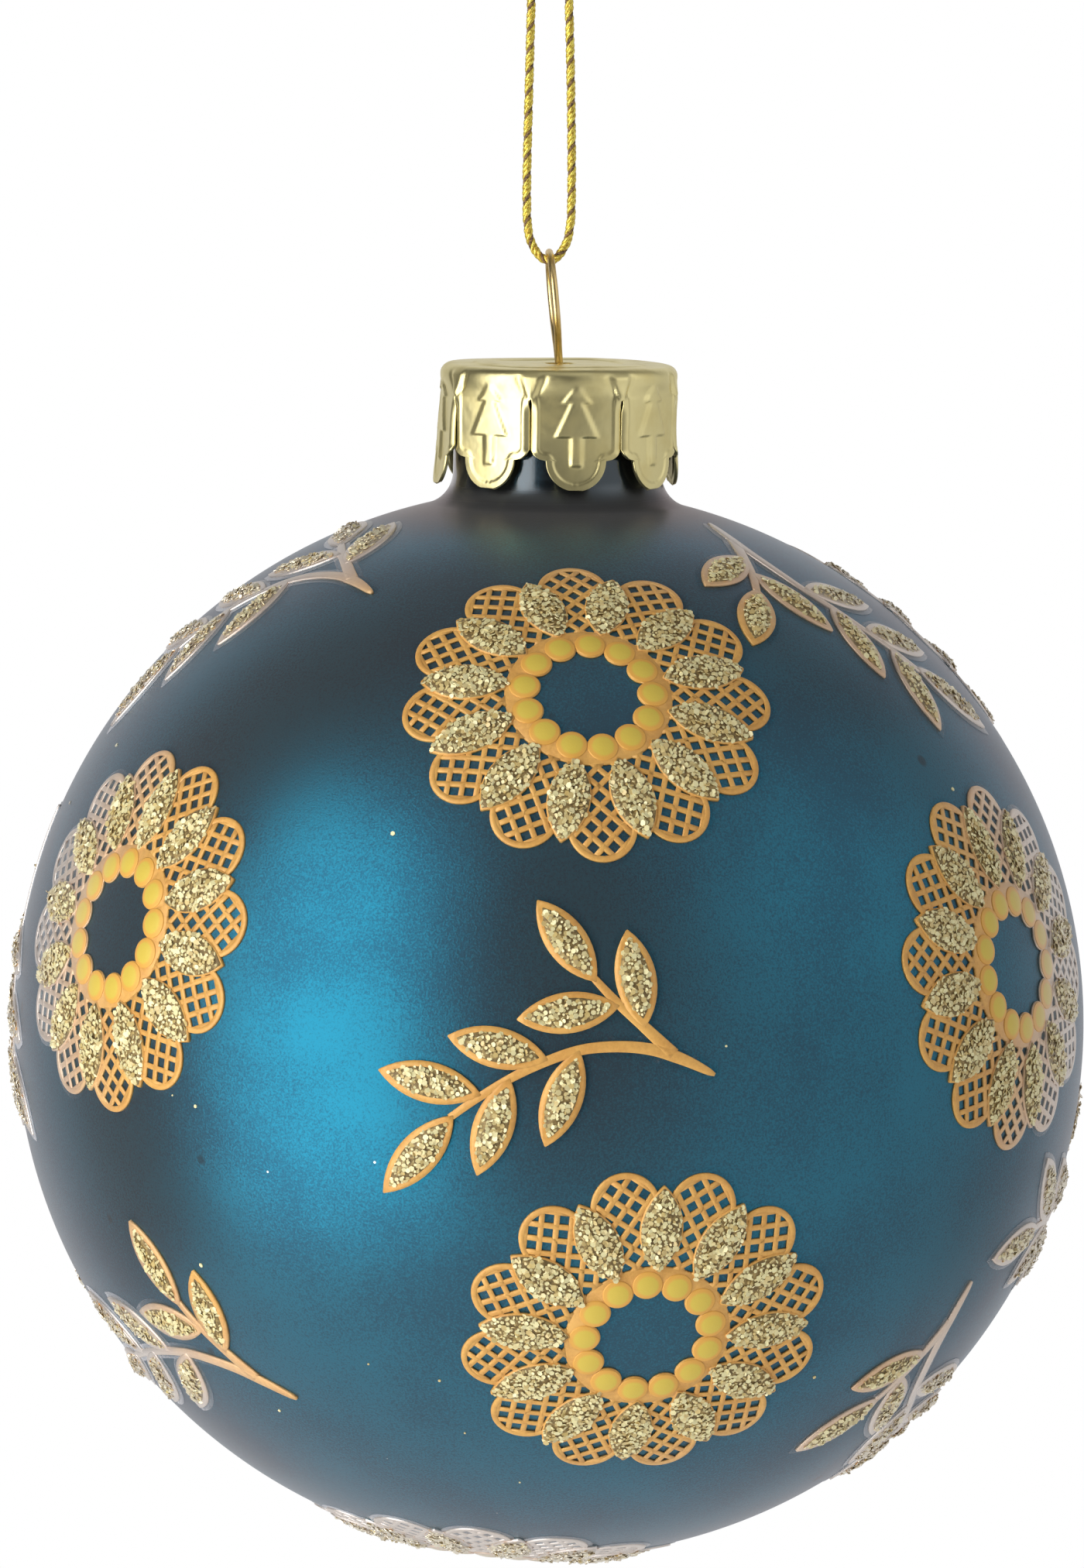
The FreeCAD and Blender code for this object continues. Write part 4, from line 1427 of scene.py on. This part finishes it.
    def lower_tab(self, number: int, share: Array, rng: np.random.Generator) -> Array:
        """Points of one tab from its tip to the slit's top, drawn about the -Y direction.

        Args:
            number: which tab, from 0.
            share: each column's place across the tab, from -1 to 1.
            rng: the source of its small unevenness.

        Returns:
            Points by row and by column.
        """
        heights = self.tab_heights()[:, None]
        slit_top = self.top - self.slit_drop
        width = self.tab_width(heights)
        across = share * width
        below = (slit_top - heights) / (slit_top - self.tip)
        bend = self.top - self.edge_radius
        radius = self.skirt_radius + self.flare * (bend - heights) / (bend - self.tip)
        round_depth = np.sqrt(radius**2 - across**2)
        flat_depth = radius * (1 + math.cos(math.pi / self.tabs)) / 2
        depth = round_depth + self.flatness * self.flattening(heights) * (flat_depth - round_depth)

        beside_slit = smooth_step((heights - self.tip - 0.8 * self.shoulder_rise) / (0.5 * MM))
        to_side = width - np.abs(across)
        fold = np.clip(1 - to_side / self.fold_width, 0, 1) ** 2 * beside_slit * smooth_step(below * 6)
        edge = self.edge_distance(across, heights + 0 * across)
        panel = smooth_step((edge - self.panel_margin) / self.panel_soft)
        tree = self.tree(across, self.top - heights)
        lean, twist = rng.normal(scale=self.lean_and_twist) * MM
        lean += self.bent_lean * (number == self.bent_tab)
        depth = depth - self.fold * fold - self.panel_depth * panel + self.relief * tree
        depth = depth + below**1.3 * (lean + twist * share) + self.wave * np.sin(below * 7 + number)
        return np.stack([across, -depth, heights + 0 * across], axis=-1)

    def upper_tab(self, number: int, share: Array) -> Array:
        """Points of one tab's part of the crown, from the slit's top to the plate's hole, about -Y.

        A dart at the top of each slit pulls the skirt in round a small pillow; the plate is a little dented.

        Args:
            number: which tab, from 0.
            share: each column's place across the tab, from -1 to 1.

        Returns:
            Points by row and by column.
        """
        crown = self.crown()
        angle = np.arcsin(share * math.sin(math.pi / self.tabs))
        radius, height = crown[:, :1], crown[:, 1:]
        above_slit = height - (self.top - self.slit_drop)
        from_slit = self.skirt_radius * (math.pi / self.tabs - np.abs(angle))
        dart = from_slit / (self.dart_width * np.sqrt(np.clip(above_slit / (1.5 * MM), 1e-4, 1)))
        near_edge = radius > self.skirt_radius - 0.8 * MM
        fade = smooth_step((self.top - 0.25 * MM - height) / (0.5 * MM)) * near_edge
        pillow = smooth_step((0.95 - dart) / 0.5) - 0.7 * np.exp(-(((dart - 1.12) / 0.20) ** 2))
        radius = radius + self.pillow_height * pillow * fade * smooth_step(above_slit / (0.2 * MM))
        on_skirt = self.flattening(height)
        flat_share = (1 + math.cos(math.pi / self.tabs)) / 2 / np.cos(angle) - 1
        radius = radius * (1 + self.flatness * on_skirt * flat_share)
        panel = smooth_step((from_slit - self.panel_margin) / self.panel_soft) * smooth_step(2 * on_skirt)
        tree = self.tree(self.skirt_radius * np.sin(angle), self.top - height)
        radius = radius - self.panel_depth * panel + self.relief * tree * smooth_step(2 * on_skirt)
        dent = self.wave * np.sin(3 * (angle + number * FULL_TURN / self.tabs) + 0.7)
        on_plate = smooth_step((self.skirt_radius - radius) / (1.2 * MM)) * smooth_step(radius / (4 * MM))
        height = height + dent * on_plate + 0 * angle
        return np.stack([radius * np.sin(angle), -radius * np.cos(angle), height], axis=-1)

    def shell(self) -> Shell:
        """All tabs and the crown as one open sheet: neighbours share their border above the slits."""
        rng = np.random.default_rng(7)
        spread = self.column_spread
        share = np.sin(np.linspace(-1, 1, self.columns + 1) * spread) / math.sin(spread)
        tabs = []
        for number in range(self.tabs):
            turn = math.radians(self.first_tab + number * 360 / self.tabs)
            parts = [self.lower_tab(number, share, rng), self.upper_tab(number, share)]
            tabs.append(np.concatenate(parts) @ about_z(turn))
        points = np.array(tabs)
        numbers = np.arange(points[..., 0].size).reshape(points.shape[:3])
        slit_row = len(self.tab_heights()) - 1
        numbers[:, slit_row:, -1] = np.roll(numbers[:, slit_row:, 0], -1, axis=0)
        faces = np.concatenate([quads(grid) for grid in numbers])
        used, faces = np.unique(faces, return_inverse=True)
        return Shell(points.reshape(-1, 3)[used], [faces.reshape(-1, 4)])

    def build(self) -> None:
        """Makes the cap and gives its sheet a thickness inwards."""
        gold = Metal("cap_gold", (0.94, 0.83, 0.42), (0.88, 0.76, 0.36), 0.35, 1.5 * MM, 0.04 * MM)
        look = Look(Body.CAP, Slot.CAP_SHEET, gold.material())
        piece = look.piece("pressed_cap", self.shell().moved(self.ball.hung), "cap")
        wall = piece.modifiers.new("sheet", "SOLIDIFY")
        wall.thickness = self.shown_sheet
        wall.offset = -1


@dataclass
class HangerWire:
    """One springy wire: a round eye above the cap and two legs that splay inside the neck."""

    hole: Array
    eye_top: Array
    across: Array
    wire: float = 0.55 * MM
    eye_width: float = 7.6 * MM
    leg_side: float = 0.705 * MM
    neck_rise: float = 0.7 * MM
    splay_drop: float = 1.45 * MM
    reach_drop: float = 8.6 * MM
    reach: float = 6.24 * MM
    tip_drop: float = 13.2 * MM
    tip_spread: float = 4.6 * MM
    step: float = 0.25 * MM

    def path(self) -> Array:
        """Leg, tangent to the eye, round it and down the other leg, with soft corners."""
        rise = float(np.linalg.norm(self.eye_top - self.hole))
        radius = (self.eye_width - self.wire) / 2
        middle = rise - radius
        down = self.neck_rise - middle
        turn = math.atan2(down, self.leg_side) + math.acos(radius / math.hypot(down, self.leg_side))
        eye = np.linspace(turn, math.pi - turn, 60)
        arc = np.column_stack([radius * np.cos(eye), middle + radius * np.sin(eye)])
        corners = [
            (self.tip_spread, -self.tip_drop),
            (self.reach, -self.reach_drop),
            (self.leg_side, -self.splay_drop),
            (self.leg_side, self.neck_rise),
            tuple(arc[0]),
        ]
        leg = evenly(softened(np.array(corners), 4), self.step)
        flat = np.concatenate([leg[:-1], arc, leg[-2::-1] * (-1, 1)])
        upward = unit(self.eye_top - self.hole)
        return self.hole + flat[:, :1] * self.across + flat[:, 1:] * upward

    def build(self) -> None:
        """Makes the wire."""
        facing = np.cross(self.across, unit(self.eye_top - self.hole))
        bronze = Metal("hanger_bronze", (0.93, 0.70, 0.32), (0.72, 0.48, 0.18), 0.30, 0.9 * MM, 0.02 * MM)
        look = Look(Body.HANGER, Slot.WIRE, bronze.material())
        look.piece("hanger_wire_eye", swept(self.path(), facing, circle(self.wire / 2, 14)), "wire_hanger")


@dataclass
class CordLoop:
    """A thin metallic cord of twisted strands, looped under the wire and tied with an overhand knot."""

    diameter: float = 0.7 * MM
    lay: float = 1.6 * MM
    step: float = 0.10 * MM
    gold_offset: float = 0.19 * MM
    gold_radius: float = 0.155 * MM
    brown_offset: float = 0.17 * MM
    brown_radius: float = 0.125 * MM
    knot_bottom: float = 0.4 * MM
    knot_top: float = 3.4 * MM
    knot_radius: float = 0.88 * MM
    length: float = 83.8 * MM
    fibres: int = 14
    fibre_reach: float = 0.9 * MM
    fibre_radius: float = 0.035 * MM
    fibre_fan: float = 0.35
    fibre_bend: float = 0.25
    fibre_scatter: float = 0.12 * MM
    route: tuple = (
        (-0.40, 0.00, 0.40), (-0.86, 0.06, -9.5), (-1.28, 0.10, -19.0), (-1.50, 0.04, -27.5),
        (-1.70, 0.00, -34.8), (-1.64, 0.00, -39.0), (-0.50, 0.00, -40.64), (0.50, 0.00, -40.64),
        (1.60, 0.00, -38.9), (1.69, 0.00, -34.6), (1.62, -0.05, -27.6), (1.42, -0.08, -19.2),
        (0.92, -0.04, -9.3), (0.40, 0.00, 0.40),
    )
    left_tail: tuple = ((-0.40, 0.00, 0.0), (-0.62, 0.10, 2.5), (-1.35, 0.25, 4.9), (-1.60, 0.65, 7.4))
    right_tail: tuple = ((0.40, 0.00, 0.0), (0.75, -0.12, 2.2), (1.30, -0.10, 4.2), (2.35, 0.20, 5.9))

    def line(self, name: str, places: Array) -> Array:
        """The smooth line that a route's spline gives.

        Args:
            name: a name for the spline while it exists.
            places: its control points.

        Returns:
            Points along it, evenly apart.
        """
        curve = bpy.data.curves.new(name, "CURVE")
        curve.dimensions = "3D"
        curve.resolution_u = 48
        spline = curve.splines.new("NURBS")
        spline.points.add(len(places) - 1)
        spline.points.foreach_set("co", np.column_stack([places, np.ones(len(places))]).ravel())
        spline.order_u = 3
        spline.use_endpoint_u = True
        holder = bpy.data.objects.new(name, curve)
        bpy.context.scene.collection.objects.link(holder)
        mesh = bpy.data.meshes.new_from_object(holder)
        points = np.empty(3 * len(mesh.vertices))
        mesh.vertices.foreach_get("co", points)
        bpy.data.objects.remove(holder)
        bpy.data.curves.remove(curve)
        bpy.data.meshes.remove(mesh)
        return evenly(points.reshape(-1, 3), self.step)

    def strand(self, path: Array, offset: float, radius: float, phase: float, corners: int = 8) -> Shell:
        """One strand: centre = path + r (cos t first + sin t second), with t = 2 pi length / lay + phase."""
        first, second = across_path(path, DEPTH)
        turn = (FULL_TURN / self.lay * self.step * np.arange(len(path)) + phase)[:, None]
        centre = path + offset * (np.cos(turn) * first + np.sin(turn) * second)
        return swept(centre, DEPTH, circle(radius, corners))

    def gold(self, path: Array) -> list[Shell]:
        """Three of the four strands are gold."""
        turns = FULL_TURN / 4 * np.arange(3)
        return [self.strand(path, self.gold_offset, self.gold_radius, turn) for turn in turns]

    def brown(self, path: Array) -> list[Shell]:
        """The fourth strand is thinner and brown."""
        return [self.strand(path, self.brown_offset, self.brown_radius, FULL_TURN * 0.75)]

    def knot_paths(self) -> list[Array]:
        """Both cords wound round each other: r = r0 + (R - r0) root(sin(pi s)), two turns up the knot."""
        share = np.linspace(0, 1, 240)
        start = abs(self.route[0][0]) * MM
        radius = start + (self.knot_radius - start) * np.sqrt(np.sin(math.pi * share))
        height = self.knot_bottom + (self.knot_top - self.knot_bottom) * share
        paths = []
        for first in (math.pi, 0.0):
            turn = first + 2 * FULL_TURN * share
            spiral = np.column_stack([radius * np.cos(turn), radius * np.sin(turn), height])
            paths.append(evenly(spiral, self.step))
        return paths

    def frayed(self, path: Array, rng: np.random.Generator) -> list[Shell]:
        """Loose fibres past a cut end, fanned out at random and a little bent."""
        along = unit(path[-1] - path[-8])
        fibres = []
        for _ in range(self.fibres):
            aim = unit(along + self.fibre_fan * rng.normal(size=3))
            bend = self.fibre_bend * rng.normal(size=3)
            reach = np.linspace(0, self.fibre_reach * (0.6 + 0.4 * rng.random()), 5)[:, None]
            start = path[-1] + self.fibre_scatter * rng.normal(size=3)
            fibre = start + reach * aim + reach**2 / MM * bend
            fibres.append(swept(fibre, unit(np.cross(aim, (0.3, 0.5, 0.9))), circle(self.fibre_radius, 4)))
        return fibres

    def build(self) -> None:
        """Makes the loop, its knot and its two frayed ends."""
        # Each thread: bright colour, then its dark colour as painted shade in the folds, metallic, roughness.
        threads = (
            Thread("gold_thread", (1.0, 0.84, 0.16), (0.60, 0.40, 0.06), 0.55, 0.30),
            Thread("brown_thread", (0.34, 0.20, 0.08), (0.10, 0.06, 0.04), 0.1, 0.6),
        )
        gold, brown = (Look(Body.CORD_LOOP, Slot.CORD, thread.material()) for thread in threads)
        rng = np.random.default_rng(21)
        path = self.line("cord_route", np.array(self.route) * MM)
        tails = []
        for name, places in (("left_tail_route", self.left_tail), ("right_tail_route", self.right_tail)):
            tails.append(self.line(name, np.array(places) * MM + (0, 0, self.knot_top)))
        knot = self.knot_paths() + tails
        fibres = [fibre for tail in tails for fibre in self.frayed(tail, rng)]
        knot_gold = [part for line in knot for part in self.gold(line)] + fibres
        knot_brown = [part for line in knot for part in self.brown(line)]
        loop = gold.piece("cord_gold_strands", joined(self.gold(path)), "hanging_cord")
        twist = brown.piece("cord_brown_strand", joined(self.brown(path)))
        tied = gold.piece("knot_gold_strands", joined(knot_gold), "cord_knot")
        tied_brown = brown.piece("knot_brown_strands", joined(knot_brown))


@dataclass
class StrayGlitter:
    """Loose flakes and tiny specks of glitter that stick to the glass between the ornaments."""

    ball: GlassBall
    count: int = 46
    size: float = 0.13 * MM
    thickness: float = 0.06 * MM

    def build(self, look: Look) -> None:
        """Makes the flakes: each a small hexagon in a random place on the glass, but for its top."""
        rng = np.random.default_rng(31)
        aim = unit(rng.normal(size=(self.count * 2, 3)))
        aim = aim[aim[:, 2] < 0.92][: self.count]
        first = unit(np.cross(aim, rng.normal(size=aim.shape)))
        radius = self.size * (0.5 + rng.random(len(aim)))
        top = aim * self.thickness
        shell = plates(aim * self.ball.radius, first, np.cross(aim, first), radius, 0 * top, top)
        shell.values["tone"] = np.repeat(rng.random(len(aim)), 12)
        look.piece("stray_glitter", shell.moved(self.ball.hung), smooth=False)


# ---------------------------------------------------------------- camera, light and floor


@dataclass
class Studio:
    """The camera, the lights, the white surroundings and the floor."""

    aim: Array
    camera_offset: tuple[float, float, float] = (0.0, -0.99452, 0.10453)
    tilt: float = 85.022
    pan: float = 0.0312
    lens: float = 443.2
    floor_drop: float = 0.215
    floor_radius: float = 0.32
    floor_thickness: float = 2 * MM
    room_light: float = 0.02
    glows: tuple = (
        ((0.96, -0.28, -0.05), 20, 64, 0.74),
        ((0.68, -0.25, 0.69), 14, 42, 0.44),
        ((0.0, -0.5, -1.0), 30, 75, 0.30),
        ((0.0, -0.2, 1.0), 8, 32, 0.40),
        ((0.0, 1.0, 0.0), 25, 72, 0.84),
    )

    def camera(self) -> None:
        """A long lens a little above the ball's middle."""
        data = bpy.data.cameras.new("camera")
        data.sensor_fit = "HORIZONTAL"
        data.sensor_width = 36
        data.lens = self.lens
        data.clip_start = 0.05
        data.clip_end = 20
        camera = bpy.data.objects.new("camera", data)
        camera.location = tuple(self.aim + self.camera_offset)
        camera.rotation_euler = (math.radians(self.tilt), 0, math.radians(self.pan))
        bpy.context.scene.collection.objects.link(camera)
        bpy.context.scene.camera = camera

    def lamp(
        self, name: str, direction: Spot, distance: float, size: tuple[float, float], power: float
    ) -> None:
        """A white softbox that faces the ball.

        Args:
            name: its name.
            direction: from the ball towards it.
            distance: from the ball.
            size: width and height.
            power: in watts.
        """
        data = bpy.data.lights.new(name, "AREA")
        data.shape = "RECTANGLE"
        data.size, data.size_y = size
        data.energy = power
        lamp = bpy.data.objects.new(name, data)
        back = unit(np.array(direction))
        lamp.location = tuple(self.aim + distance * back)
        lamp.rotation_euler = Vector(back).to_track_quat("Z", "Y").to_euler()
        bpy.context.scene.collection.objects.link(lamp)

    def surroundings(self) -> None:
        """White where the camera sees it; as light, a dim room with soft glows in a few directions.

        Each glow adds its strength times a smooth step of the cosine between the ray and its direction: all
        of it up to the first angle, none past the second.
        """
        world = bpy.data.worlds.new("studio")
        bpy.context.scene.world = world
        world.use_nodes = True
        world.node_tree.nodes.clear()
        nodes = Nodes(world.node_tree)
        ray = nodes.add("TexCoord").outputs["Generated"]
        strength = self.room_light
        for direction, full, none, most in self.glows:
            facing = nodes.vectors("DOT_PRODUCT", ray, tuple(unit(np.array(direction)))).outputs["Value"]
            step = nodes.between(facing, math.cos(math.radians(none)), math.cos(math.radians(full)))
            strength = nodes.calculate("MULTIPLY_ADD", step, most, strength)
        light = nodes.add("Background", Strength=strength)
        white = nodes.add("Background", Color=(1, 1, 1, 1))
        rays = nodes.add("LightPath").outputs
        seen = nodes.calculate("MAXIMUM", rays["Is Camera Ray"], rays["Is Transmission Ray"])
        nodes.add("OutputWorld", Surface=nodes.shaders(seen, light, white))

    def floor(self) -> None:
        """A thin round floor well below the ball."""
        level = float(self.aim[2]) - self.floor_drop
        under = level - self.floor_thickness
        profile = np.array([[0, under], [self.floor_radius, under], [self.floor_radius, level], [0, level]])
        piece = make_piece("studio_floor", revolved(profile, 96), smooth=False)
        piece.data.materials.append(StudioFloor().material())

    def build(self) -> None:
        """Makes the lamps, the surroundings and the floor, and shows colours as they are."""
        bpy.context.scene.view_settings.view_transform = "Standard"
        self.lamp("key_softbox", (-0.758, -0.652, -0.13), 0.50, (0.47, 1.20), 3.55)
        self.lamp("tall_softbox", (-0.766, -0.643, -0.03), 0.52, (0.42, 1.30), 1.80)
        self.surroundings()
        self.floor()


ROSETTES = (
    Place(42.4, 4.8, 3.0),
    Place(13.0, -54.9, 7.3),
    Place(9.8, 60.5, 23.4),
    Place(-28.9, 12.3, 14.2),
    Place(-82.0, -45.0, -10.0),
    Place(43.7, 116.0, 10.0),
    Place(25.0, 176.0, 20.0),
    Place(37.0, -127.0, 8.0),
    Place(-47.0, -166.5, 12.0),
)
SPRIGS = (
    Place(3.6, -0.9, 0.0),
    Place(55.7, -70.6, 24.6),
    Place(53.0, 56.4, 94.0),
    Place(-33.1, -57.2, -16.2),
    Place(-42.9, 63.3, 110.4),
    Place(-18.4, 86.9, -30.0),
    Place(5.0, -92.6, 90.0),
    Place(-4.4, -144.0, 12.0),
    Place(-14.2, 159.5, 75.0),
    Place(-34.8, -108.7, -25.0),
    Place(-48.8, 126.0, 20.0),
    Place(0.8, 121.0, 100.0),
)


def hung_ball(swivel: dict) -> GlassBall:
    """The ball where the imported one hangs: its lowest point and its axis fix its centre.

    Args:
        swivel: the joint that turns the cap about the ball's axis.

    Returns:
        The ball, not built yet.
    """
    lowest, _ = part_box("glass_ball")
    centre = np.array([0.0, 0.0, lowest[2] + GlassBall.radius])
    return GlassBall(centre, np.array(swivel["axis"]))


def main() -> None:
    """Makes the whole picture."""
    joints = {joint["name"]: joint for joint in frame["joints"]}
    swing, swivel = joints["swing_on_cord"], joints["swivel_in_cap"]
    ball = hung_ball(swivel)
    studio = Studio(ball.centre)
    studio.camera()
    CordLoop().build()
    HangerWire(np.array(swivel["pos_m"]), np.array(swing["pos_m"]), np.array(swing["axis"])).build()
    PressedCap(ball).build()
    ball.build()
    looks = {
        "lace": Look(Body.BALL, Slot.LACE, MatteGold().material()),
        "bead": Look(Body.BALL, Slot.BEADS, BeadGold().material()),
        "glitter": Look(Body.BALL, Slot.GLITTER, Glitter().material()),
        "glue": Look(Body.BALL, Slot.GLITTER, GlueBed().material()),
        "film": Look(Body.BALL, Slot.FILM, ClearFilm().material()),
    }
    for ornament, places in ((LaceRosette(ball), ROSETTES), (LeafSprig(ball), SPRIGS)):
        for number, place in enumerate(places, start=1):
            ornament.build(number, place, looks)
    StrayGlitter(ball).build(looks["glitter"])
    studio.build()


if __name__ == "__main__":
    main()
